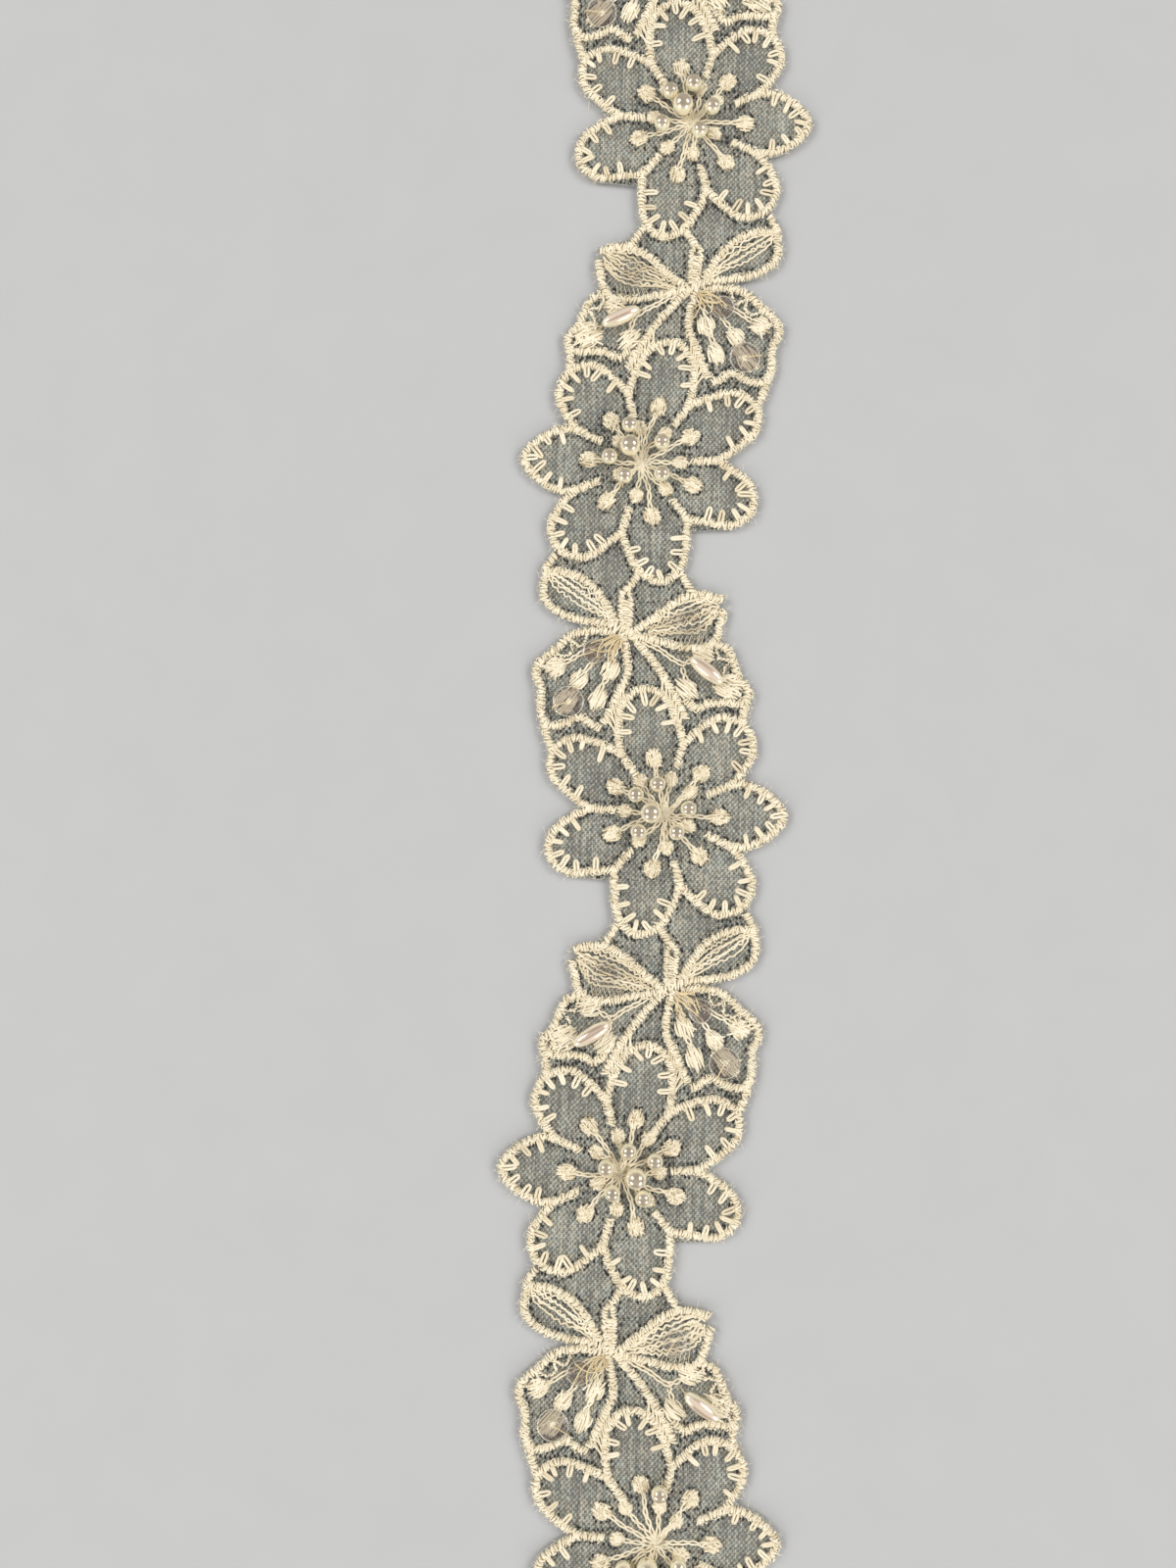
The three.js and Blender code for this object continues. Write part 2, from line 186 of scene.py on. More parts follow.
SILK_DARK, SILK_GREY, SILK_PALE = (0.102, 0.102, 0.090), (0.303, 0.302, 0.262), (0.65, 0.645, 0.57)
COOL, WARM, PRICK_PAINTED_SHADE = (0.96, 1.0, 1.0), (1.06, 0.99, 0.90), (0.012, 0.012, 0.012)
FRAYED, FRAY_WIDTH = (0.56, 0.57, 0.55), 0.7
rng = np.random.default_rng(11)


def polar(angle, radius):
    """The point at an angle in degrees and a radius."""
    turn = np.radians(angle)
    return np.stack([radius * np.cos(turn), radius * np.sin(turn)], -1)


def turned(angle, along, across):
    """The point so far along a direction in degrees, and so far across it to the left."""
    c, s = math.cos(math.radians(angle)), math.sin(math.radians(angle))
    return np.stack([along * c - across * s, along * s + across * c], -1)


def in_strip(points, n):
    """Motif points in the strip, for motif n from the top: mirrored on every second motif, moved
    one pitch at a time, and bowed sideways by the square of the way from the middle."""
    points = np.asarray(points, float)
    side = 1 if n % 2 == 0 else -1
    y = points[..., 1] + PITCH * ((MOTIFS - 1) / 2 - n)
    return np.stack([side * (points[..., 0] + FLOWER_OFFSET) + BOW * (y / BOW_AT) ** 2, y], -1)


def middle_mm(node):
    """The middle of a solid and its half sizes, in millimetres."""
    low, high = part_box(node)
    return np.array(low + high) * 500.0, (np.array(high, float) - np.array(low, float)) * 500.0


# All motifs are moved together, so that the third one's first sequin lies on its solid.
home = middle_mm("sequin_3_1")[0][:2] - in_strip(FIRST_SEQUIN, 2)


def laid(points, n):
    """Motif points in the frame, in millimetres; a height goes along unchanged."""
    points = np.asarray(points, float)
    return np.concatenate([in_strip(points[..., :2], n) + home, points[..., 2:]], -1)


def ray_after(i):
    """The angle half way from petal i to the next one round."""
    here, following = PETALS[i % len(PETALS), 0], PETALS[(i + 1) % len(PETALS), 0]
    return here - ((here - following) % 360) / 2


def petal_arch(i):
    """Seven points of a petal's outline: joint, side, shoulder, tip, and down again."""
    axis, tip, half, full = PETALS[i]
    share = np.array([PETAL_SIDE_SHARE, PETAL_SHOULDER_SHARE, 1, PETAL_SHOULDER_SHARE, PETAL_SIDE_SHARE])
    arch = turned(axis, tip * share, half * np.array([1, full, 0, -full, -1]))
    joints = polar(np.array([ray_after(i - 1), ray_after(i)]), PETAL_JOINT_RADIUS)
    return np.vstack([joints[:1], arch, joints[1:]])


def leaf_edge(leaf, side):
    """A leaf's upper (+1) or lower (-1) edge: shares of its length, offset across its axis."""
    share, upper, lower = np.array(leaf["edge"]).T
    hand = side if math.cos(math.radians(leaf["angle"])) > 0 else -side
    across = hand * (upper if side > 0 else lower)
    return np.array(leaf["base"]) + turned(leaf["angle"], share * leaf["length"], across)


def bell_edge(rows):
    """A bell's outline: points at an angle and a reach from the stem joint."""
    return STEM_JOINT + polar(*np.array(rows, float).T)


def bulb_side(side):
    """Half of the bulb's loop: nearly straight sides that round in to its top."""
    share = np.array([0, 0.3, 0.7, 0.9, 1.0])
    swell = np.array([0.34, 0.5, 0.52, 0.4, 0.0]) * BULB_WIDTH * side
    return BULB_FOOT + share[:, None] * (BULB_TOP - BULB_FOOT) + np.stack([swell, 0 * swell], -1)


def drawn(points, step):
    """Even points a step apart along a smooth curve through a few points: a cubic between each two,
    whose slopes come from its neighbours, spaced by the square root of their distance."""
    through = np.asarray(points, float)
    ends = np.vstack([2 * through[0] - through[1], through, 2 * through[-1] - through[-2]])
    gap = np.sqrt(np.linalg.norm(np.diff(ends, axis=0), axis=1))[:, None]
    p0, p1, p2, p3 = ends[:-3], ends[1:-2], ends[2:-1], ends[3:]
    g0, g1, g2 = gap[:-2], gap[1:-1], gap[2:]
    leave = ((p1 - p0) / g0 - (p2 - p0) / (g0 + g1) + (p2 - p1) / g1) * g1
    arrive = ((p2 - p1) / g1 - (p3 - p1) / (g1 + g2) + (p3 - p2) / g2) * g1
    u = np.linspace(0, 1, CURVE_STEPS, endpoint=False)[None, :, None]
    p1, p2, leave, arrive = (a[:, None, :] for a in (p1, p2, leave, arrive))
    bend = 3 * (p2 - p1) - 2 * leave - arrive
    sway = 2 * (p1 - p2) + leave + arrive
    curve = (p1 + leave * u + bend * u**2 + sway * u**3).reshape(-1, through.shape[1])
    curve = np.vstack([curve, through[-1:]])
    run = np.r_[0, np.cumsum(np.linalg.norm(np.diff(curve, axis=0), axis=1))]
    even = np.linspace(0, run[-1], max(3, int(round(run[-1] / step)) + 1))
    return np.stack([np.interp(even, run, axis) for axis in curve.T], -1)


motifs, petals = range(MOTIFS), range(len(PETALS))
tail = np.array([PETAL_JOINT_RADIUS + TAIL_OVERLAP, TAIL_END_RADIUS])
petal_lines = [petal_arch(i) for i in petals] + [polar(ray_after(i), tail) for i in petals]
stem_lines = [leaf_edge(leaf, side) for leaf in (ALMOND_LEAF, WEDGE_LEAF) for side in (1, -1)]
stem_lines += [bell_edge(SEQUIN_BELL), bell_edge(RICE_BELL), LEFT_STEM, RIGHT_STEM]
stem_lines += [SEQUIN_BELL_LINK, RICE_BELL_LINK]
bulb_lines = [bulb_side(1), bulb_side(-1)]
waist_lines = [NECK, LEAF_LINK, WEDGE_LINK]
stitched = np.vstack([
    laid(drawn(line, OUTLINE_STEP), n)
    for n in motifs
    for line in petal_lines + stem_lines + bulb_lines + waist_lines
])
sheet_top = laid((0.0, TOP_CUT), 0)[1]
sheet_bottom = stitched[:, 1].min() - ORGANZA_MARGIN + END_INSET
rows = np.linspace(sheet_bottom, sheet_top, int(round((sheet_top - sheet_bottom) / ORGANZA_ROW)) + 1)
# The cut: in each row, the furthest reach of discs of the margin's radius along every stitched line.
chord = ORGANZA_MARGIN**2 - (rows[:, None] - stitched[None, :, 1]) ** 2
reach = np.sqrt(np.clip(chord, 0, None))
edge_left = np.where(chord > 0, stitched[:, 0] - reach, 1e3).min(1)
edge_right = np.where(chord > 0, stitched[:, 0] + reach, -1e3).max(1)
share = np.linspace(0, 1, ORGANZA_COLUMNS + 1)
cloth_x = edge_left[:, None] + (edge_right - edge_left)[:, None] * share
cloth_y = np.repeat(rows[:, None], len(share), 1)


def nearest_to(spots):
    """How far each point of the cloth lies from the nearest of some spots, a block of rows at a time."""
    away = np.empty(cloth_x.shape)
    for first in range(0, len(rows), ROWS_AT_ONCE):
        block = slice(first, first + ROWS_AT_ONCE)
        nearby = spots[np.abs(spots[:, 1] - rows[block].mean()) < NEARBY]
        gap = np.stack([cloth_x[block], cloth_y[block]], -1)[..., None, :] - nearby
        away[block] = np.sqrt((gap**2).sum(-1).min(-1))
    return away


loose = 1 - np.exp(-((nearest_to(stitched) / SLACK_REACH) ** 2))
ripple = np.sin(0.9 * cloth_x + 1.7 * np.sin(0.23 * cloth_y)) + 0.8 * np.sin(0.71 * cloth_y + 0.33 * cloth_x)
cloth_z = ORGANZA_Z + ORGANZA_SLACK * loose * ripple


def quad_mesh(name, points_mm, quads):
    """A smooth mesh from points in millimetres and quads."""
    mesh = bpy.data.meshes.new(name)
    mesh.vertices.add(len(points_mm))
    mesh.vertices.foreach_set("co", (np.asarray(points_mm) * 0.001).astype(np.float32).ravel())
    mesh.loops.add(quads.size)
    mesh.loops.foreach_set("vertex_index", quads.astype(np.int32).ravel())
    mesh.polygons.add(len(quads))
    mesh.polygons.foreach_set("loop_start", np.arange(0, quads.size, 4, dtype=np.int32))
    mesh.polygons.foreach_set("use_smooth", np.ones(len(quads), bool))
    mesh.update(calc_edges=True)
    return mesh


def mark_points(mesh, name, values):
    """Keeps one number for each point of a mesh, for its finish to read."""
    kept = mesh.attributes.new(name, "FLOAT", "POINT")
    kept.data.foreach_set("value", np.asarray(values, np.float32).ravel())


def add_piece(mesh, finish, nodes=()):
    """Makes the mesh a piece of the strip, standing for its solids."""
    mesh.materials.append(finish)
    piece = add_object(mesh.name, mesh)
    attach(piece, "root")
    if nodes:
        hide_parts(*nodes)
    return piece


def sum_of(kind, *numbers):
    """One sum on two or three numbers, the first a socket, the others sockets or plain values."""
    node = add_node(numbers[0], "Math", dict(enumerate(numbers)))
    node.operation = kind
    return node.outputs["Value"]


def stepped(value, low, high):
    """0 below low, 1 above high, and a straight rise between them; falls where high is the lower."""
    return add_node(value, "MapRange", {"Value": value, "From Min": low, "From Max": high}).outputs["Result"]


def bumped(height, depth):
    """The shading's direction over bumps of a height from 0 to 1, so many metres deep."""
    return add_node(height, "Bump", {"Strength": 1.0, "Distance": depth, "Height": height}).outputs["Normal"]


def mark_of(shader, name):
    """The number that each point of the mesh keeps under a name."""
    node = add_node(shader, "Attribute", {})
    node.attribute_name = name
    return node.outputs["Fac"]


def hatch(coords, turn_deg, period):
    """Fine even lines, so many metres from one to the next, turned by so many degrees."""
    vector = mapped(coords, "Rotation", (0.0, 0.0, math.radians(turn_deg)))
    levels = {"Scale": math.pi / 10 / period, "Distortion": 1.2, "Detail": 1.0}
    return add_node(coords, "TexWave", {"Vector": vector, **levels}).outputs["Fac"]


def mixed(share, first, second, kind="MIX"):
    """Two colours mixed by a share, or the second's tint over the first; each is a socket or a colour."""
    node = add_node(first, "Mix", {})
    node.data_type = "RGBA"
    node.blend_type = kind
    first, second = ((*c, 1.0) if isinstance(c, tuple) else c for c in (first, second))
    return wire(node, {"Factor": share, "A": first, "B": second}).outputs["Result"]


organza_finish, shader, coords = new_finish("sheer_organza")
warp, weft = hatch(coords, 0, 0.00030), hatch(coords, 90, 0.00033)
streaks = lumps(coords, 3000.0, 1.0, (1.0, 0.03, 1.0))
grain, clouds = lumps(coords, 1900.0, 3.0), lumps(coords, 130.0, 2.0)
rising, falling = hatch(coords, 42, 0.00058), hatch(coords, -38, 0.00066)
# The weave's tone: a half, plus how far each part departs from a half, times its weight.
parts = [(warp, 0.09), (weft, 0.08), (streaks, 0.34), (grain, 0.48)]
parts += [(clouds, 0.25), (rising, 0.13), (falling, 0.09)]
weave = 0.5 - 0.5 * sum(weight for _, weight in parts)
for value, weight in parts:
    weave = sum_of("MULTIPLY_ADD", value, weight, weave)
upright = mapped(coords, "Scale", PRICK_STRETCH)
cells = add_node(coords, "TexVoronoi", {"Vector": upright, "Scale": PRICKS_PER_METRE, "Randomness": 0.85})
cells.voronoi_dimensions = "2D"
from_stitch = mark_of(shader, "from_stitch")
beside = sum_of("MULTIPLY", stepped(from_stitch, *PRICKS_FROM), stepped(from_stitch, *PRICKS_TO))
pricked = sum_of("MULTIPLY", beside, stepped(cells.outputs["Distance"], *PRICK_SIZE))
silk = ramp(weave, [(0.36, SILK_DARK), (0.50, SILK_GREY), (0.66, SILK_PALE)])
cast = ramp(lumps(coords, 800.0), [(0.36, COOL), (0.64, WARM)])
silk = mixed(1.0, silk, cast, "MULTIPLY")
silk = mixed(sum_of("MULTIPLY", mark_of(shader, "frayed"), 0.8), silk, FRAYED)
cover = sum_of("MULTIPLY_ADD", stepped(weave, 0.38, 0.64), 0.24, 0.35)
# Painted shade: at each needle prick the cloth is painted near-black and nearly opaque.
wire(shader, {
    "Base Color": mixed(pricked, silk, PRICK_PAINTED_SHADE),
    "Alpha": sum_of("MAXIMUM", cover, sum_of("MULTIPLY", pricked, 0.96)),
    "Normal": bumped(weave, 0.00006),
    "Roughness": 0.42, "Sheen Weight": 0.12,
})

corner = np.arange(cloth_x.size).reshape(cloth_x.shape)
near, far = corner[:-1], corner[1:]
cloth_quads = np.stack([near[:, :-1], near[:, 1:], far[:, 1:], far[:, :-1]], -1).reshape(-1, 4)
cloth_points = np.stack([cloth_x, cloth_y, cloth_z], -1).reshape(-1, 3)
organza_mesh = quad_mesh("organza_ground", cloth_points, cloth_quads)
from_cut = np.minimum(cloth_x - edge_left[:, None], edge_right[:, None] - cloth_x)
mark_points(organza_mesh, "frayed", np.clip(1 - from_cut / FRAY_WIDTH, 0, 1))
organza = add_piece(organza_mesh, organza_finish, ["embroidered_ground"])
wall = organza.modifiers.new("thickness", "SOLIDIFY")
wall.thickness = ORGANZA_THICKNESS * 0.001
wall.offset = 0.0


# Outline cords: every petal, leaf, bell and stem is drawn in a raised machine cord. Cotton
# thread is satin wrapped, on a slant, over a padding of laid threads and through the cloth.
CORD_HALF_WIDTH = 0.62
CORD_TOP, CORD_FOOT = 1.46, 0.38
WRAP_PITCH, WRAP_SLANT, WRAP_RADIUS = 0.44, 0.42, 0.19
WRAP_BUNCH, WRAP_FOOT_PAINTED_SHADE, WRAP_TURN = 3, 0.24, 1.5
PADDING_RADIUS, PADDING_Z, PADDING_STEP, PADDING_PAINTED_SHADE_TONE = 0.50, 0.66, 1.0, 0.25
BULB_CORD_HALF_WIDTH = 0.46
BULB_FILL, BULB_FILL_HALF_WIDTH = BULB_FOOT + np.array([[0.0], [0.66]]) * (BULB_TOP - BULB_FOOT), 0.95
JOINT_FILL, JOINT_FILL_HALF_WIDTH = [(-9.0, 31.5), (-7.2, 30.9), (-5.4, 30.1)], 0.95
TAN, STRAW = (0.43, 0.335, 0.19), (0.68, 0.58, 0.40)
CREAM, IVORY = (0.86, 0.76, 0.56), (0.985, 0.905, 0.725)


def unit(vectors):
    """Vectors at length one."""
    return vectors / np.linalg.norm(vectors, axis=-1, keepdims=True)


def strands(paths, radius, tone, lead=(0.0, 0.0, 1.0), sides=4):
    """Round threads carried along paths, as (points, quads, tone of each point): at every point a ring
    at the radius, square to the path and turned to the lead, joined to the next, with closed ends."""
    paths = np.asarray(paths, float)
    many, count = paths.shape[:2]
    along = unit(np.gradient(paths, axis=1))
    side = unit(np.cross(along, lead))
    rise = np.cross(side, along)
    turn = 2 * np.pi * np.arange(sides)[:, None] / sides
    ring = side[..., None, :] * np.cos(turn) + rise[..., None, :] * np.sin(turn)
    radius = np.broadcast_to(radius, (many, count))
    points = paths[..., None, :] + radius[..., None, None] * ring
    corner = np.arange(many * count * sides).reshape(many, count, sides)
    beside = np.roll(corner, -1, 2)
    walls = np.stack([corner[:, :-1], corner[:, 1:], beside[:, 1:], beside[:, :-1]], -1)
    m = np.arange(sides // 2 - 1)
    cap = np.stack([m, m + 1, sides - 2 - m, sides - 1 - m], -1)
    ends = [corner[:, 0][:, cap], corner[:, -1][:, cap[:, ::-1]]]
    quads = np.concatenate([part.reshape(-1, 4) for part in (walls, *ends)])
    tones = np.broadcast_to(np.reshape(tone, (many, -1)), (many, count))
    return points.reshape(-1, 3), quads, np.repeat(tones, sides, 1).ravel()


def thread_tones(many, middle=0.66, spread=0.12):
    """A tone for each thread, from 0, tan, to 1, ivory."""
    return np.clip(rng.normal(middle, spread, many), 0.02, 1.0)


def left_of(headings):
    """Each direction turned a quarter turn to the left."""
    return np.stack([-headings[..., 1], headings[..., 0]], -1)


def heading_of(line):
    """The direction along a line at each of its points, and the direction to its left."""
    ahead = unit(np.gradient(line, axis=0))
    return ahead, left_of(ahead)


def set_out(spots, *moves):
    """Points set out from each spot by moves: each a direction at the spot, and how far to go along it."""
    shape = (len(spots), *(1,) * (moves[0][1].ndim - 1), 2)
    placed = np.reshape(spots, shape)
    for direction, far in moves:
        placed = placed + np.reshape(direction, shape) * far[..., None]
    return placed


def with_height(flat, height):
    """Flat points, each given a height; one height may serve many of them."""
    return np.concatenate([flat, np.broadcast_to(height, flat.shape[:-1])[..., None]], -1)


def drifting(many, spread):
    """A number for each wrap that wanders with its neighbours: chance averaged over a bunch of wraps."""
    chance = rng.normal(0, spread, many + WRAP_BUNCH - 1)
    return np.convolve(chance, np.ones(WRAP_BUNCH) / math.sqrt(WRAP_BUNCH), "valid")[:, None]


def satin_cord(line, half=CORD_HALF_WIDTH, top=CORD_TOP):
    """Wraps over a line: each runs from foot to foot over the top on a half circle, leaning forward by the
    slant, uneven by itself and with its neighbours, and painted darker at its feet as painted shade; a thick
    strand pads them."""
    spots = drawn(line, WRAP_PITCH)
    ahead, left = heading_of(spots)
    many = len(spots)
    spots = spots + ahead * rng.normal(0, 0.08, (many, 1)) + left * drifting(many, 0.05)
    over = np.linspace(-WRAP_TURN, WRAP_TURN, 6)
    width = half * (1.04 + rng.normal(0, 0.06, (many, 1)) + drifting(many, 0.05))
    lean = WRAP_SLANT * rng.normal(0.50, 0.70, (many, 1))
    crown = top - WRAP_RADIUS + rng.normal(0, 0.06, (many, 1)) + drifting(many, 0.04)
    flat = set_out(spots, (left, width * np.sin(over)), (ahead, lean * over / WRAP_TURN))
    wrap = with_height(flat, CORD_FOOT + (crown - CORD_FOOT) * np.cos(over))
    thick = WRAP_RADIUS * rng.normal(1, 0.12, (many, 1)) * (0.75 + 0.25 * np.cos(over))
    tone = thread_tones(many, 0.85, 0.15)[:, None] + drifting(many, 0.08)
    # Painted shade: the tone drops towards each wrap's feet, where it dips between its neighbours.
    tone = tone - WRAP_FOOT_PAINTED_SHADE * (1 - np.cos(over))
    # Painted shade: the padding under the wraps takes a dark tone, so the gaps between wraps read as shade.
    core = with_height(drawn(line, PADDING_STEP), PADDING_Z)[None]
    padding = strands(core, min(PADDING_RADIUS, 0.8 * half), [PADDING_PAINTED_SHADE_TONE], sides=6)
    return [strands(wrap, thick, tone, with_height(ahead, 0.0)[:, None]), padding]


def joined_mesh(name, parts):
    """One mesh of many parts, each (points, quads, and more): its quads count on from the points before."""
    starts = np.cumsum([0] + [len(part[0]) for part in parts[:-1]])
    quads = np.concatenate([part[1] + start for part, start in zip(parts, starts)])
    return quad_mesh(name, np.concatenate([part[0] for part in parts]), quads)


def thread_piece(name, bundles, finish=None):
    """Joins bundles of strands into one piece of thread on the organza, of cotton or in its own finish."""
    mesh = joined_mesh(name, bundles)
    mark_points(mesh, "tone", np.concatenate([tone for _, _, tone in bundles]))
    add_piece(mesh, finish or cotton_finish)


def thread_finish(name, stops):
    """A spun thread: its colour runs through the stops by its tone, uneven along it, with a soft sheen."""
    finish, shader, coords = new_finish(name)
    uneven = sum_of("SUBTRACT", lumps(coords, 900.0, 3.0), 0.5)
    tone = sum_of("MULTIPLY_ADD", uneven, 0.30, mark_of(shader, "tone"))
    wire(shader, {
        "Base Color": ramp(tone, stops),
        "Normal": bumped(lumps(coords, 5200.0), 0.00008),
        "Roughness": 0.62, "Sheen Weight": 0.15, "Sheen Roughness": 0.4,
    })
    return finish


cotton_finish = thread_finish("cotton_thread", [(0.0, TAN), (0.28, STRAW), (0.60, CREAM), (1.0, IVORY)])

petal_bundles, stem_bundles = [], []
for n in motifs:
    for line in petal_lines:
        petal_bundles += satin_cord(laid(line, n))
    for line in stem_lines + (waist_lines if n > 0 else []):
        stem_bundles += satin_cord(laid(line, n))
    for line in bulb_lines:
        stem_bundles += satin_cord(laid(line, n), BULB_CORD_HALF_WIDTH)
    stem_bundles += satin_cord(laid(BULB_FILL, n), BULB_FILL_HALF_WIDTH)
    stem_bundles += satin_cord(laid(JOINT_FILL, n), JOINT_FILL_HALF_WIDTH)
thread_piece("petal_cords", petal_bundles)
thread_piece("leaf_and_stem_cords", stem_bundles)


# Petal bars: short straight stitches that point inward from a petal's cord. Each is one
# thread taken out and back, drawn tight in some and left as an open loop in others.
BARS = 7
BAR_SHARES = np.linspace(0.14, 0.86, BARS)
BAR_LENGTH, BAR_HALF_WIDTH, BAR_THREAD = 2.40, 0.27, 0.24
BAR_Z, BAR_ARCH = 1.06, 0.16


def petal_bars(i):
    """Thread loops along a petal's arch: out, round the end and back, square to the cord, each a
    little longer or shorter, tighter or wider, and turned aside by a few degrees."""
    arch = drawn(petal_arch(i), 0.2)
    spot = np.clip(((BAR_SHARES + rng.normal(0, 0.010, BARS)) * len(arch)).astype(int), 0, len(arch) - 1)
    ahead, left = heading_of(arch)
    aside = np.radians(rng.normal(0, 6, BARS))[:, None]
    inward = -left[spot] * np.cos(aside) + ahead[spot] * np.sin(aside)
    reach = np.array([0.12, 0.45, 0.75, 0.93, 1.0, 0.93, 0.75, 0.45, 0.12])
    width = np.array([-1, -1, -1, -0.7, 0, 0.7, 1, 1, 1])
    length = BAR_LENGTH * rng.normal(1, 0.10, (BARS, 1))
    half = BAR_HALF_WIDTH * rng.uniform(0.6, 1.3, (BARS, 1))
    flat = set_out(arch[spot], (inward, length * reach), (left_of(inward), half * width))
    return with_height(flat, BAR_Z + BAR_ARCH * np.sin(np.pi * reach) + rng.normal(0, 0.02, (BARS, 1)))


bar_bundles = []
for n in motifs:
    bars = laid(np.concatenate([petal_bars(i) for i in petals]), n)
    bar_bundles.append(strands(bars, BAR_THREAD, thread_tones(len(bars), 0.76)))
thread_piece("petal_bars", bar_bundles)


# Stamens: satin bolls on two-thread stalks, seven long and seven short, that come together
# in a tangled heart in the middle of each flower.
LONG_STAMEN_RADIUS = 9.3
SHORT_STAMENS = [(-4.0, 5.5), (1.0, 5.9), (4.3, 3.5), (4.3, -1.9), (0.8, -5.6), (-4.0, -4.5), (-6.1, 0.3)]
LONG_BOLL, SHORT_BOLL = (3.0, 3.5), (2.4, 2.8)
HEART, HEART_THREADS, HEART_Z = np.array((0.4, -0.2)), 32, 1.02
STALK_THREAD, STALK_SWAY, STALK_WAVE, STALK_Z = 0.185, 0.20, 1.7, 1.0
STALK_STEPS, FINE_STEP = 18, 0.15
BOLL_BASE, BOLL_THREAD, BOLL_TOP, BOLL_FOOT = 13, 0.17, 1.28, 0.86
TUFT_THREADS, TUFT_THREAD, TUFT_TOP = 28, 0.16, 1.44


def bolls(places, headings, across, along, ragged, crown, flare):
    """Satin bolls, as (thread paths, tones): threads side by side along the heading, longest in the middle
    and risen over a dome on a cosine, every second one sunk and painted darker as shade, under a crown of
    short ones laid askew; lengths are uneven, so the ends are ragged, and they spread outward by the flare."""
    many = len(places)
    in_base = np.linspace(-1, 1, BOLL_BASE) + rng.normal(0, 0.04, (many, BOLL_BASE))
    share = np.hstack([in_base, rng.uniform(-0.75, 0.75, (many, crown))])
    on_top = np.r_[np.zeros(BOLL_BASE), np.ones(crown)]
    sunk = np.r_[np.arange(BOLL_BASE) % 2, np.zeros(crown)]
    bulge = np.sqrt(np.clip(1 - 0.72 * share**2, 0.12, None))
    reach = bulge * rng.normal(1, ragged, share.shape) * (1 - 0.42 * on_top)
    shift = on_top * rng.uniform(-0.4, 0.4, share.shape)
    u = np.linspace(-1, 1, 6)
    skew = (rng.normal(0, 1, share.shape) * (0.08 + 0.26 * on_top))[..., None] * u
    run = np.reshape(along, (-1, 1, 1)) / 2 * (reach[..., None] * u + shift[..., None])
    spread = 0.88 * share[..., None] * (1 + flare * u - 0.12 * u**2) + skew
    off = np.reshape(across, (-1, 1, 1)) / 2 * spread
    flat = set_out(places, (headings, run), (left_of(headings), off))
    height = BOLL_FOOT + (BOLL_TOP - BOLL_FOOT) * bulge[..., None] * np.cos(1.35 * u)
    height = height + (0.12 * on_top - 0.16 * sunk)[:, None] + rng.normal(0, 0.03, (*share.shape, 1))
    # Painted shade: each sunk thread's tone is lowered by a half.
    tones = np.clip(0.90 - 0.50 * sunk + rng.normal(0, 0.12, share.shape), 0.05, 1.0)
    return with_height(flat, height).reshape(-1, 6, 3), tones.ravel()


def tufts(places, headings, across, along):
    """The crumbly top of round bolls, as (thread paths, tones): short threads scattered evenly over an oval
    dome, each pointing outward give or take about 40 degrees, so that its rim is ragged all round."""
    shape = (len(places), TUFT_THREADS)
    out, around = 0.84 * np.sqrt(rng.random(shape)), rng.uniform(0, 2 * np.pi, shape)
    point = around + rng.normal(0, 0.7, shape)
    half = rng.uniform(0.16, 0.34, shape)
    u = np.linspace(-1, 1, 4)
    run = (out * np.cos(around))[..., None] + (half * np.cos(point))[..., None] * u
    off = (out * np.sin(around))[..., None] + (half * np.sin(point))[..., None] * u
    dome = np.sqrt(np.clip(1 - 0.8 * (run**2 + off**2), 0, None))
    height = BOLL_FOOT + (TUFT_TOP - TUFT_THREAD - BOLL_FOOT) * dome - 0.05 * u**2
    run, off = run * np.reshape(along, (-1, 1, 1)) / 2, off * np.reshape(across, (-1, 1, 1)) / 2
    flat = set_out(places, (headings, run), (left_of(headings), off))
    tones = np.clip(rng.normal(0.78, 0.32, shape), 0.05, 1.0)
    return with_height(flat, height).reshape(-1, 4, 3), tones.ravel()


def part_of(fine, start, end, count):
    """Even points of a line between two shares of its length."""
    at = np.linspace(start, end, count)
    return np.stack([np.interp(at, np.linspace(0, 1, len(fine)), axis) for axis in fine.T], -1)


def chain_stalk(route, sway=STALK_SWAY, wave=STALK_WAVE):
    """Two threads along a route that sway apart and together on a sine, one against the other."""
    fine = drawn(route, FINE_STEP)
    spots = part_of(fine, 0, 1, STALK_STEPS)
    _, left = heading_of(spots)
    run = np.linspace(0, FINE_STEP * len(fine), STALK_STEPS)
    swing = np.sin(np.pi * run / wave + rng.uniform(0, 3)) * sway
    drift = 0.08 * np.sin(1.3 * run + rng.uniform(0, 6))
    made = []
    for hand in (1, -1):
        flat = spots + left * (hand * (0.09 + np.abs(swing)) + drift)[:, None]
        height = STALK_Z + 0.07 * np.cos(2 * np.pi * run / wave + hand) + rng.normal(0, 0.02)
        made.append(np.column_stack([flat, height]))
    return np.array(made)


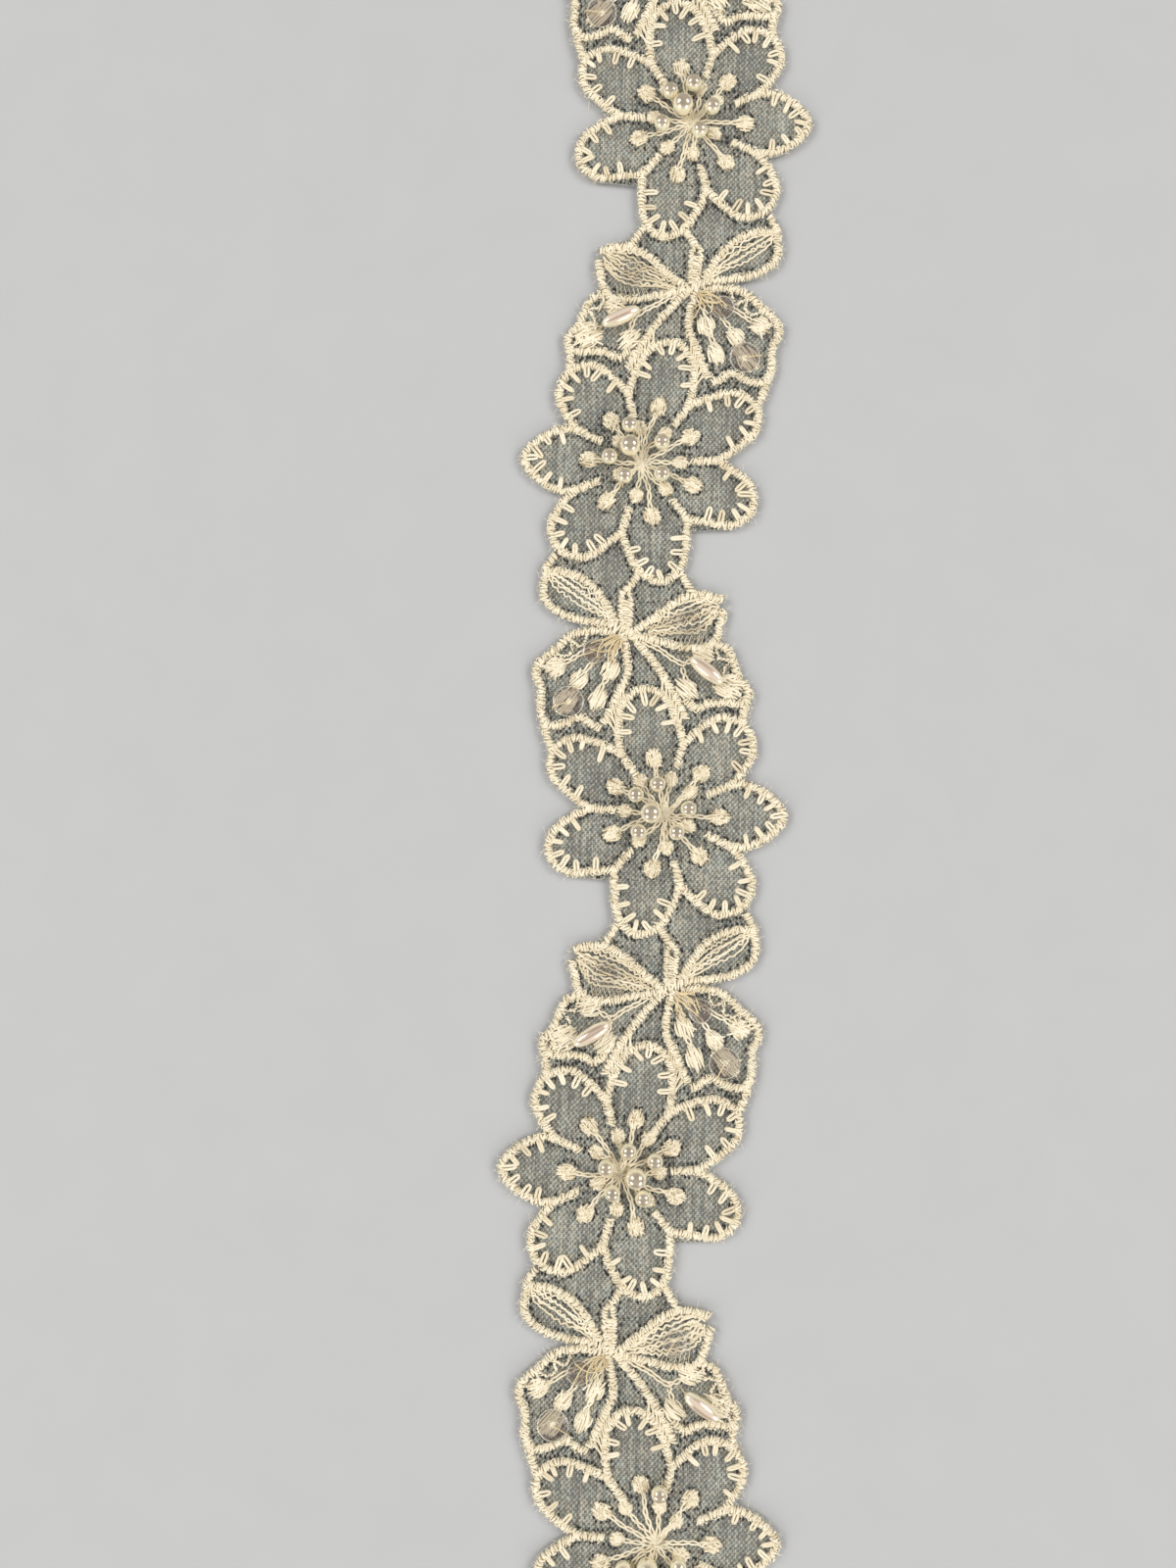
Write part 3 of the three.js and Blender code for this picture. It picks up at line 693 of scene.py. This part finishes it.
stamen_bundles = []
tips = np.vstack([polar(PETALS[:, 0], LONG_STAMEN_RADIUS), SHORT_STAMENS])
boll_sizes = np.array([LONG_BOLL] * len(PETALS) + [SHORT_BOLL] * len(SHORT_STAMENS))
tip_headings = unit(tips - HEART)
for n in motifs:
    placed = tips + rng.normal(0, 0.25, tips.shape)
    across, along = boll_sizes.T
    satin, tones = bolls(placed, tip_headings, 0.92 * across, 0.92 * along, 0.10, 0, 0.0)
    # Painted shade: the satin under the tufts is painted darker, its tone lowered by 0.35.
    stamen_bundles.append(strands(laid(satin, n), BOLL_THREAD, tones - 0.35))
    crumbly, tones = tufts(placed, tip_headings, across, along)
    stamen_bundles.append(strands(laid(crumbly, n), TUFT_THREAD, tones))
    for tip, heading, (_, length) in zip(placed, tip_headings, boll_sizes):
        foot = HEART + heading * 0.6
        end = tip - heading * length * 0.35
        bowed = (foot + end) / 2 + rng.normal(0, 0.3, 2)
        stalk = laid(chain_stalk([foot, bowed, end]), n)
        stamen_bundles.append(strands(stalk, STALK_THREAD, thread_tones(2, 0.76)))
    turn = rng.uniform(0, 360, HEART_THREADS)
    ray = np.linspace(-0.35, 1, 6)
    flat = polar(turn, rng.uniform(0.9, 2.2, HEART_THREADS))[:, None] * ray[:, None]
    flat = HEART + flat + rng.normal(0, 0.12, (HEART_THREADS, 1, 2))
    height = HEART_Z + 0.2 * np.cos(1.4 * ray) * rng.uniform(0.6, 1.2, (HEART_THREADS, 1))
    tangle = laid(with_height(flat, height), n)
    stamen_bundles.append(strands(tangle, 0.8 * STALK_THREAD, thread_tones(HEART_THREADS, 0.66, 0.26)))
thread_piece("stamens", stamen_bundles)


# Leaf stitches: long wavy stitches run from the base of each leaf to its tip, a few in the
# almond leaf's upper half and many stout ones fanned over the wedge leaf's, with a
# thin slanting hatch below them.
ALMOND_SHARES = [0.14, 0.26, 0.29, 0.42, 0.45, 0.58]
WEDGE_SHARES = np.linspace(0.09, 0.68, 8)
VEIN_SWAY, VEIN_WAVE, VEIN_Z, VEIN_STEPS = 0.25, 1.30, 0.98, 44
ALMOND_THREAD, WEDGE_THREAD = 0.17, 0.20
HATCHES, HATCH_THREAD, HATCH_Z = 8, 0.065, 0.93


def between_edges(leaf, share, start, end, count=VEIN_STEPS):
    """A line down a leaf: the upper and lower edges mixed by a share, from start to end of the length."""
    edges = [drawn(leaf_edge(leaf, side), 0.2) for side in (1, -1)]
    upper, lower = (part_of(edge, start, end, count) for edge in edges)
    return upper + (lower - upper) * share


def wavy_threads(lines, sway, wave):
    """Single threads along lines, each moved square to its line by a sine of its own length and start."""
    made = []
    for line in lines:
        _, left = heading_of(line)
        run = np.r_[0, np.cumsum(np.linalg.norm(np.diff(line, axis=0), axis=1))]
        stretch = wave * rng.uniform(0.75, 1.4)
        swing = sway * rng.uniform(0.6, 1.2) * np.sin(2 * np.pi * run / stretch + rng.uniform(0, 6))
        swing = swing * (0.7 + 0.5 * np.sin(0.8 * run + rng.uniform(0, 6)))
        swing = swing + 0.12 * np.sin(0.9 * run + rng.uniform(0, 6))
        height = VEIN_Z + 0.06 * np.cos(2 * np.pi * run / stretch) + rng.normal(0, 0.03)
        made.append(np.column_stack([line + left * swing[:, None], height]))
    return np.array(made)


leaf_bundles = []
for n in motifs:
    almond = [between_edges(ALMOND_LEAF, s, 0.03, rng.uniform(0.90, 0.97)) for s in ALMOND_SHARES]
    veins = laid(wavy_threads(almond, VEIN_SWAY, VEIN_WAVE), n)
    leaf_bundles.append(strands(veins, ALMOND_THREAD, thread_tones(len(veins), 0.70)))
    wedge = [
        between_edges(WEDGE_LEAF, s + rng.normal(0, 0.01), rng.uniform(0.02, 0.22), rng.uniform(0.80, 0.95))
        for s in WEDGE_SHARES
    ]
    wedge += [between_edges(WEDGE_LEAF, s, 0.70, rng.uniform(0.9, 0.97)) for s in np.linspace(0.14, 0.62, 5)]
    veins = laid(wavy_threads(wedge, VEIN_SWAY * 0.9, VEIN_WAVE), n)
    tones = np.where(rng.random(len(veins)) < 0.32, 0.34, thread_tones(len(veins), 0.66))
    leaf_bundles.append(strands(veins, WEDGE_THREAD, tones))
    above = between_edges(WEDGE_LEAF, 0.72, 0.38, 0.66, HATCHES)[:, None]
    below = between_edges(WEDGE_LEAF, 0.96, 0.31, 0.59, HATCHES)[:, None]
    slants = above + (below - above) * np.linspace(0, 1, 3)[:, None]
    slants = laid(with_height(slants, HATCH_Z), n)
    leaf_bundles.append(strands(slants, HATCH_THREAD, thread_tones(HATCHES, 0.35)))
thread_piece("leaf_stitches", leaf_bundles)


# Bells: sprays of satin dots on chain stitched stalks that hang from the stem joint, with small
# corded scallops along their outer edge. A dot also lies under the large sequin.
SEQUIN_BELL_DOTS = [  # x, y, across, along
    (-19.0, 24.4, 3.3, 3.6),
    (-14.9, 22.4, 2.8, 3.7),
    (-9.7, 24.3, 3.2, 3.9),
    (-11.6, 19.3, 2.9, 4.0),
    (-16.9, 18.8, 3.7, 5.0),
]
RICE_BELL_DOTS = [(6.1, 27.2, 3.4, 3.8), (3.4, 21.4, 3.4, 4.0), (10.4, 22.0, 4.6, 5.0)]
KNOBBY_DOTS, DOT_UNDER_SEQUIN, UNDER_SEQUIN_Z = [0, 7], 4, 1.10
BELL_STALKS = [
    [(-8.0, 30.2), (-12.6, 28.0), (-17.6, 25.2)],
    [(-8.0, 30.0), (-11.2, 27.0), (-14.2, 23.6)],
    [(-7.6, 29.8), (-8.8, 27.8), (-9.6, 26.0)],
    [(-10.1, 23.0), (-10.8, 21.8), (-11.2, 20.8)],
    [(-15.3, 21.2), (-15.9, 20.4), (-16.5, 19.6)],
    [(-4.4, 29.4), (-2.0, 28.2), (2.8, 25.3)],
    [(2.4, 25.6), (4.0, 26.2), (5.0, 26.6)],
    [(2.6, 25.0), (3.0, 23.8), (3.3, 22.6)],
    [(8.6, 22.2), (9.4, 22.0), (10.2, 21.9)],
]
SCALLOPS = [  # bell, start and end shares of its edge, how many, which side of the edge is inside
    (SEQUIN_BELL, 0.13, 0.42, 3, 1),
    (RICE_BELL, 0.05, 0.56, 3, -1),
]
SCALLOP_DEPTH, SCALLOP_HALF_WIDTH, SCALLOP_TOP = 2.3, 0.20, 1.30
BELL_STALK_SWAY, BELL_STALK_WAVE = 0.26, 1.5


def scallops(rows, start, end, count, inside):
    """A run of loops along a bell's edge: each leaves the cord, swings in on half a sine and comes back."""
    edge = part_of(drawn(bell_edge(rows), FINE_STEP), start, end, 10 * count + 1)
    _, left = heading_of(edge)
    swing = np.abs(np.sin(np.linspace(0, np.pi * count, len(edge)))) ** 0.6
    return edge + inside * SCALLOP_DEPTH * swing[:, None] * left


bell_bundles = []
dots = np.array(SEQUIN_BELL_DOTS + RICE_BELL_DOTS)
dot_headings = unit(dots[:, :2] - STEM_JOINT)
for n in motifs:
    satin, tones = bolls(dots[:, :2], dot_headings, dots[:, 2], dots[:, 3], 0.14, 5, 0.06)
    hidden = np.repeat(np.arange(len(dots)) == DOT_UNDER_SEQUIN, len(satin) // len(dots))
    satin[hidden, :, 2] = np.minimum(satin[hidden, :, 2], UNDER_SEQUIN_Z)
    bell_bundles.append(strands(laid(satin, n), BOLL_THREAD, tones))
    knobs = dots[KNOBBY_DOTS]
    crumbly, tones = tufts(knobs[:, :2], dot_headings[KNOBBY_DOTS], knobs[:, 2], knobs[:, 3])
    bell_bundles.append(strands(laid(crumbly, n), TUFT_THREAD, tones))
    for route in BELL_STALKS:
        stalk = laid(chain_stalk(route, BELL_STALK_SWAY, BELL_STALK_WAVE), n)
        bell_bundles.append(strands(stalk, STALK_THREAD, thread_tones(2, 0.76)))
    for row in SCALLOPS:
        bell_bundles += satin_cord(laid(scallops(*row), n), SCALLOP_HALF_WIDTH, SCALLOP_TOP)
thread_piece("bell_sprays", bell_bundles)


# Ladder stitches: two threads laced to and fro, one against the other, between each stem and
# the top petal's side, so that the cloth between the two cords shows through an open lattice.
LADDERS = [  # stem, its start and end shares, and the shares of the petal's arch opposite
    (LEFT_STEM, 0.50, 0.97, 0.36, 0.10),
    (RIGHT_STEM, 0.48, 0.97, 0.62, 0.90),
]
LADDER_CROSSINGS, LADDER_THREAD, LADDER_Z, LADDER_STEPS = 7, 0.17, 1.0, 64

ladder_bundles = []
onward = np.linspace(0, 1, LADDER_STEPS)
for n in motifs:
    for stem, start, end, petal_start, petal_end in LADDERS:
        near = part_of(drawn(stem, FINE_STEP), start, end, LADDER_STEPS)
        far = part_of(drawn(petal_arch(0), FINE_STEP), petal_start, petal_end, LADDER_STEPS)
        for phase in (0, np.pi):
            swing = 0.5 - 0.5 * np.cos(np.pi * LADDER_CROSSINGS * onward + phase)
            height = LADDER_Z + 0.08 * np.sin(40 * onward + phase)
            lacing = with_height(near + (far - near) * swing[:, None], height)
            ladder_bundles.append(strands(laid(lacing, n)[None], LADDER_THREAD, thread_tones(1)))
thread_piece("ladder_stitches", ladder_bundles)


# Needle pricks: the machine's needle leaves small holes in the organza beside every cord and round every
# boll. The cloth keeps its distance from the stitching, and its finish paints each hole near-black, a
# painted shade.
BOLL_PRICK_RING, PRICK_MARGIN = 0.75, 1.5
ring = polar(np.arange(0, 360, 60), BOLL_PRICK_RING)
satin_spots = np.vstack([tips, dots[:, :2]])[:, None] + ring
pierced = [stitched] + [laid(satin_spots.reshape(-1, 2), n) for n in motifs]
away = np.where(from_cut < PRICK_MARGIN, 0, nearest_to(np.vstack(pierced)))
mark_points(organza.data, "from_stitch", away)


# Round pearls: glass beads with a pearl coat, drilled through, six sewn to each flower. One is
# large and five are small.
PEARL_HOLE, PEARL_STEPS, PEARLS = 0.30, 24, 6
PEARL_SHADE, PEARL_LIGHT, PEARL_PAINTED_RIM_LIGHT = (0.35, 0.29, 0.205), (0.47, 0.39, 0.28), (0.98, 0.87, 0.63)


def drilled_bead(profile, centre, axis, steps):
    """A bead as (points, quads): a closed profile of (along the hole, from its axis) carried round it."""
    axis = unit(np.asarray(axis, float))
    side = unit(np.cross(axis, (0.0, 0.0, 1.0) if abs(axis[2]) < 0.9 else (1.0, 0.0, 0.0)))
    rise = np.cross(side, axis)
    turn = 2 * np.pi * np.arange(steps)[:, None, None] / steps
    around = side * np.cos(turn) + rise * np.sin(turn)
    points = centre + profile[None, :, :1] * axis + profile[None, :, 1:] * around
    corner = np.arange(steps * len(profile)).reshape(steps, len(profile))
    ahead, beside = np.roll(corner, -1, 1), np.roll(corner, -1, 0)
    quads = np.stack([corner, ahead, np.roll(beside, -1, 1), beside], -1)
    return points.reshape(-1, 3), quads.reshape(-1, 4)


def round_profile(radius, hole):
    """Half a circle from one rim of the hole to the other, closed by the hole's own wall."""
    start = math.asin(hole / radius)
    lap = np.linspace(start, math.pi - start, 15)
    outside = np.column_stack([radius * np.cos(lap), radius * np.sin(lap)])
    return np.vstack([outside, [(-0.4 * radius, hole), (0.4 * radius, hole)]])[::-1]


def pearl_finish(name, shade, light, foot, streaked=False):
    """A pearl coat: clouded or streaked colour that turns to the foot's cream low on the bead, a painted rim
    of light; glossy.
    """
    finish, shader, coords = new_finish(name)
    cloud = mark_of(shader, "streak") if streaked else lumps(coords, 700.0, 3.0)
    clouded = ramp(cloud, [(0.3, shade), (0.7, light)])
    wire(shader, {
        "Base Color": mixed(mark_of(shader, "low"), clouded, foot),
        "Normal": bumped(lumps(coords, 1600.0), 0.00001),
        "Roughness": 0.26, "Metallic": 0.2,
        "Subsurface Weight": 0.45, "Subsurface Radius": (1.0, 0.75, 0.5), "Subsurface Scale": 0.0015,
        "Coat Weight": 1.0, "Coat Roughness": 0.08, "Coat IOR": 2.1,
    })
    return finish


def how_low(beads, seats):
    """For each point of the beads, 0 on the upper cap and 1 below it, by its height over the middle."""
    height = [
        (points[:, 2] - centre[2]) / (points[:, 2].max() - centre[2])
        for (points, _), (centre, _, _) in zip(beads, seats)
    ]
    return np.clip((0.76 - np.concatenate(height)) / 0.22, 0, 1)


round_beads, pearl_seats = [], []
pearl_nodes = [f"pearl_{n + 1}_{k + 1}" for n in motifs for k in range(PEARLS)]
for node in pearl_nodes:
    centre, half = middle_mm(node)
    axis = np.append(polar(rng.uniform(0, 180), 1.0), 0.0)
    round_beads.append(drilled_bead(round_profile(half[2], PEARL_HOLE), centre, axis, PEARL_STEPS))
    pearl_seats.append((centre, half[2], axis))
pearl_coat = pearl_finish("pearl_coat", PEARL_SHADE, PEARL_LIGHT, PEARL_PAINTED_RIM_LIGHT)
round_pearls = add_piece(joined_mesh("round_pearls", round_beads), pearl_coat, pearl_nodes)
# Painted light: the cream rim low on each pearl.
mark_points(round_pearls.data, "low", how_low(round_beads, pearl_seats))


# Rice pearls: long beads with pointed ends in the same pearl coat, which runs in streaks of colour
# along them. One is sewn along the stalk of each motif's right-hand bell.
RICE_TURNS = [-33, -26, -37, -33, -35]
RICE_LENGTH, RICE_DIAMETER, RICE_HOLE = 6.8, 2.5, 0.26
RICE_STEPS, RICE_STREAKS = 48, [3, 5, 8, 11]
RICE_SHADE, RICE_LIGHT = (0.50, 0.37, 0.28), (0.84, 0.69, 0.55)


def rice_profile():
    """A pointed oval from hole to hole: the radius is a sine of the way along, a little flattened."""
    lap = np.linspace(0, math.pi, 19)
    bulge = np.clip(RICE_DIAMETER / 2 * np.sin(lap) ** 0.82, RICE_HOLE, None)
    outside = np.column_stack([RICE_LENGTH / 2 * np.cos(lap), bulge])
    wall = [(-0.2 * RICE_LENGTH, 0.6 * RICE_HOLE), (0.2 * RICE_LENGTH, 0.6 * RICE_HOLE)]
    return np.vstack([outside, wall])[::-1]


rice_beads, rice_seats = [], []
rice_nodes = [f"rice_pearl_{n + 1}" for n in motifs]
for n, turn in enumerate(RICE_TURNS):
    centre, _ = middle_mm(rice_nodes[n])
    axis = np.append(polar(turn if n % 2 == 0 else 180 - turn, 1.0), 0.0)
    rice_beads.append(drilled_bead(rice_profile(), centre, axis, RICE_STEPS))
    rice_seats.append((centre, RICE_LENGTH / 2, axis))
rice_coat = pearl_finish("rice_pearl_coat", RICE_SHADE, RICE_LIGHT, PEARL_PAINTED_RIM_LIGHT, streaked=True)
rice_pearls = add_piece(joined_mesh("rice_pearls", rice_beads), rice_coat, rice_nodes)
# Painted light: a fainter cream rim low on each rice pearl.
mark_points(rice_pearls.data, "low", 0.8 * how_low(rice_beads, rice_seats))
turn = 2 * np.pi * np.arange(RICE_STEPS)[:, None] / RICE_STEPS
phase = rng.uniform(0, 2 * np.pi, (MOTIFS, 1, len(RICE_STREAKS)))
streak = 0.5 + 0.16 * np.sin(turn * np.array(RICE_STREAKS) + phase).sum(-1)
mark_points(rice_pearls.data, "streak", np.repeat(streak, len(rice_profile()), 1))


# Sequins: clear film discs with a taupe cast, punched in the middle and slightly cupped, three
# to a motif, each held by a stitch through its hole.
SEQUIN_HOLE, SEQUIN_FILM, SEQUIN_CUP, SEQUIN_STEPS = 0.55, 0.10, 0.19, 40
FILM_TAUPE, PAINTED_RIM_GLINT, FILM_EDGE_SHARE = (0.155, 0.10, 0.075), (0.94, 0.89, 0.72), 0.93
FILM_COVER = [0.28, 0.20, 0.10]


def sequin_profile(radius):
    """From the hole up the cup to the rim and back under it: the rise is slow, then steep at the rim."""
    out = np.array([0, 0.35, 0.7, 0.86, 0.93, 1.0])
    rise = np.array([0, 0.08, 0.22, 0.38, 0.68, 1.0])
    width = SEQUIN_HOLE + (radius - SEQUIN_HOLE) * out
    height = SEQUIN_CUP * rise - SEQUIN_CUP / 2
    upper = np.column_stack([height + SEQUIN_FILM / 2, width])
    lower = np.column_stack([height - SEQUIN_FILM / 2, width])
    return np.vstack([upper[::-1], lower])


film_finish, shader, coords = new_finish("clear_sequin_film")
rim = mark_of(shader, "rim")
tinted = ramp(lumps(coords, 500.0), [(0.3, FILM_TAUPE), (0.7, [1.3 * c for c in FILM_TAUPE])])
# Painted glint: toward the rim the film turns cream and nearly opaque, a painted edge glint.
wire(shader, {
    "Base Color": mixed(rim, tinted, PAINTED_RIM_GLINT),
    "Alpha": sum_of("MULTIPLY_ADD", rim, 0.6, mark_of(shader, "cover")),
    "Normal": bumped(lumps(coords, 520.0, 1.0), 0.0009),
    "Roughness": 0.07, "Specular IOR Level": 0.9,
    "Coat Weight": 1.0, "Coat Roughness": 0.03, "Coat IOR": 2.0,
})

sequin_beads, sequin_seats, sequin_rims = [], [], []
sequin_nodes = [f"sequin_{n + 1}_{k + 1}" for n in motifs for k in range(len(FILM_COVER))]
for node in sequin_nodes:
    centre, (_, radius, _) = middle_mm(node)
    lean = polar(rng.uniform(0, 360), math.sin(math.radians(rng.uniform(1, 4))))
    profile = sequin_profile(radius)
    sequin_beads.append(drilled_bead(profile, centre, np.append(lean, 1.0), SEQUIN_STEPS))
    at_rim = np.clip((profile[:, 1] / radius - FILM_EDGE_SHARE) / (1 - FILM_EDGE_SHARE), 0, 1)
    sequin_rims.append(np.tile(at_rim, SEQUIN_STEPS))
    sequin_seats.append((centre, radius))
sequins = add_piece(joined_mesh("clear_sequins", sequin_beads), film_finish, sequin_nodes)
mark_points(sequins.data, "rim", np.concatenate(sequin_rims))
mark_points(sequins.data, "cover", np.repeat(FILM_COVER * MOTIFS, len(sequin_rims[0])))


# Sewing thread: the tan hand-sewing thread that holds each bead and sequin, taken through its hole
# and down into the organza. At the stem joint its loose ends lie over the small sequin.
SEWING_THREAD, SEWING_FOOT = 0.10, 0.85
LOOSE_ENDS, LOOSE_THREAD, LOOSE_STEPS = 9, 0.11, 12
LOOSE_ROOT, LOOSE_Z, LOOSE_ARCH, OVER_FILM_Z = STEM_JOINT + np.array((-0.6, -0.4)), 1.20, 0.50, 1.90
GOLDEN_TAN, PALE_GOLD = (0.50, 0.36, 0.17), (0.84, 0.69, 0.42)
sewing_bundles = []
for centre, radius, axis in pearl_seats + rice_seats:
    for hand in (1, -1):
        out = np.array([0.55, 0.9, 1.05, 1.18, 1.26])[:, None] * radius * axis * hand
        drop = np.array([0.0, 0.0, 0.25, 0.7, 1.0]) * (SEWING_FOOT - centre[2])
        stitch = centre + out + np.column_stack([np.zeros((5, 2)), drop])
        sewing_bundles.append(strands(stitch[None], SEWING_THREAD, [rng.uniform(0.15, 0.4)]))
for centre, radius in sequin_seats:
    out = np.append(polar(rng.uniform(0, 360), 1.0), 0.0)
    reach = np.array([0.0, 0.12, 0.5, 0.95, 1.08, 1.15])[:, None] * radius * out
    lift = np.array([SEWING_FOOT - centre[2], 0.16, 0.24, 0.38, 0.30, SEWING_FOOT - centre[2]])
    stitch = centre + reach + np.column_stack([np.zeros((6, 2)), lift])
    sewing_bundles.append(strands(stitch[None], SEWING_THREAD, [rng.uniform(0.3, 0.6)]))
for n in motifs:
    spread = np.linspace(180, 258, LOOSE_ENDS) + rng.normal(0, 8, LOOSE_ENDS)
    reach = np.linspace(0.15, 1, LOOSE_STEPS) * rng.uniform(2.6, 6.2, (LOOSE_ENDS, 1))
    swerve = rng.normal(0, 14, (LOOSE_ENDS, 1)) * np.linspace(-1, 1, LOOSE_STEPS)
    flat = laid(LOOSE_ROOT + polar(spread[:, None] + swerve, reach), n)
    film_centre, film_radius = sequin_seats[len(FILM_COVER) * n]
    past_rim = np.linalg.norm(flat - film_centre[:2], axis=-1) - film_radius
    over = np.clip((1.0 - past_rim) / 0.7, 0, 1)
    arch = LOOSE_Z + LOOSE_ARCH * np.sin(np.linspace(0.3, 2.9, LOOSE_STEPS))
    loose_ends = with_height(flat, arch + (OVER_FILM_Z - arch) * over)
    sewing_bundles.append(strands(loose_ends, LOOSE_THREAD, rng.uniform(0.2, 0.6, LOOSE_ENDS)))
sewing_finish = thread_finish("tan_sewing_thread", [(0.0, GOLDEN_TAN), (0.5, PALE_GOLD)])
thread_piece("sewing_threads", sewing_bundles, sewing_finish)


# Loose fibres: the trimmed organza frays into short hairs all along both edges. The cotton cords are
# fuzzy with finer ones that stand off their sides, and short crumbs of thread lie along them.
HAIRS, HAIR_THICKNESS = 1100, 0.028


def either_side(many):
    """Left or right by chance, 1 or -1, in a column."""
    return np.where(rng.random((many, 1)) < 0.5, -1, 1)


spot = rng.integers(3, len(rows) - 3, (HAIRS, 1))
hand = either_side(HAIRS)
root_x = np.where(hand > 0, edge_right[spot], edge_left[spot]) - 0.25 * hand
lean = np.radians(rng.normal(0, 45, (HAIRS, 1)))
length = rng.uniform(0.35, 1.1, (HAIRS, 1))
u = np.linspace(0, 1, 4)
curl = rng.normal(0, 0.9, (HAIRS, 1)) * u**2
hair_x = root_x + hand * length * np.cos(lean) * u
hair_y = rows[spot] + length * (np.sin(lean) * u + 0.5 * curl)
hair_z = ORGANZA_Z + rng.normal(0, 0.18, (HAIRS, 1)) * u
hairs = strands(np.stack([hair_x, hair_y, hair_z], -1), HAIR_THICKNESS, thread_tones(HAIRS, 0.9, 0.08))
thread_piece("cut_edge_hairs", [hairs])

FUZZ, FUZZ_LENGTH, FUZZ_THICKNESS, FUZZ_ROOT, FUZZ_Z = 3500, 0.52, 0.022, 0.50, 0.95
CRUMBS, CRUMB_LENGTH, CRUMB_THICKNESS = 5400, 0.52, 0.105
fuzz_lines = [laid(drawn(line, 0.25), n) for n in motifs for line in petal_lines + stem_lines]
fuzz_spots = np.vstack(fuzz_lines)
fuzz_ahead, fuzz_left = (np.vstack(part) for part in zip(*[heading_of(line) for line in fuzz_lines]))
chosen = rng.integers(0, len(fuzz_spots), FUZZ)
hand = either_side(FUZZ)
lean = np.radians(rng.normal(0, 40, (FUZZ, 1)))
outward = fuzz_left[chosen] * hand * np.cos(lean) + fuzz_ahead[chosen] * np.sin(lean)
length = FUZZ_LENGTH * rng.uniform(0.4, 1.0, (FUZZ, 1))
u = np.array([0, 0.5, 1.0])
root = fuzz_spots[chosen] + fuzz_left[chosen] * hand * FUZZ_ROOT
bend = rng.normal(0, 0.25, (FUZZ, 1, 1)) * fuzz_ahead[chosen][:, None] * (u**2)[:, None]
flat = root[:, None] + length[..., None] * (outward[:, None] * u[:, None] + bend)
height = FUZZ_Z + rng.uniform(-0.1, 0.35, (FUZZ, 1)) + rng.uniform(-0.2, 0.3, (FUZZ, 1)) * u
fuzz = strands(with_height(flat, height), FUZZ_THICKNESS, thread_tones(FUZZ, 0.92, 0.06))

chosen = rng.integers(0, len(fuzz_spots), CRUMBS)
ahead, left = fuzz_ahead[chosen], fuzz_left[chosen] * either_side(CRUMBS)
point = rng.uniform(0, np.pi, (CRUMBS, 1))
lie = CRUMB_LENGTH * rng.uniform(0.6, 1.1, (CRUMBS, 1)) * (ahead * np.cos(point) + left * np.sin(point))
middle = fuzz_spots[chosen] + left * rng.uniform(0.36, 0.64, (CRUMBS, 1))
flat = middle[:, None] + lie[:, None] * np.array([[-0.5], [0], [0.5]])
flat = flat + left[:, None] * np.array([[0], [0.12], [0]])
height = rng.uniform(0.92, 1.30, (CRUMBS, 1)) + np.array([-0.06, 0.04, -0.06])
crumbs = strands(with_height(flat, height), CRUMB_THICKNESS, thread_tones(CRUMBS, 0.86, 0.14))
thread_piece("cord_fuzz", [fuzz, crumbs])

# Camera: it hangs over the strip, a little to the left of its middle, tipped up its length and
# rolled by a degree or two.
LENS_MM, SENSOR_MM, NEAR_CLIP = 28.125, 36.0, 0.005
CAMERA_OVER_STRIP_MM = (-10.12, -4.07, 208.0)
CAMERA_TIP_DEG, CAMERA_ROLL_DEG = 2.43, 1.71
tip = Matrix.Rotation(math.radians(CAMERA_TIP_DEG), 4, "X")
roll = Matrix.Rotation(math.radians(CAMERA_ROLL_DEG), 4, "Z")
stand = (Vector(CAMERA_OVER_STRIP_MM) + Vector((home[0], home[1], 0.0))) * 0.001
camera = add_object("camera", bpy.data.cameras.new("camera"))
camera.data.lens = LENS_MM
camera.data.sensor_width = SENSOR_MM
camera.data.clip_start = NEAR_CLIP
camera.matrix_world = Matrix.Translation(stand) @ tip @ roll
bpy.context.scene.camera = camera
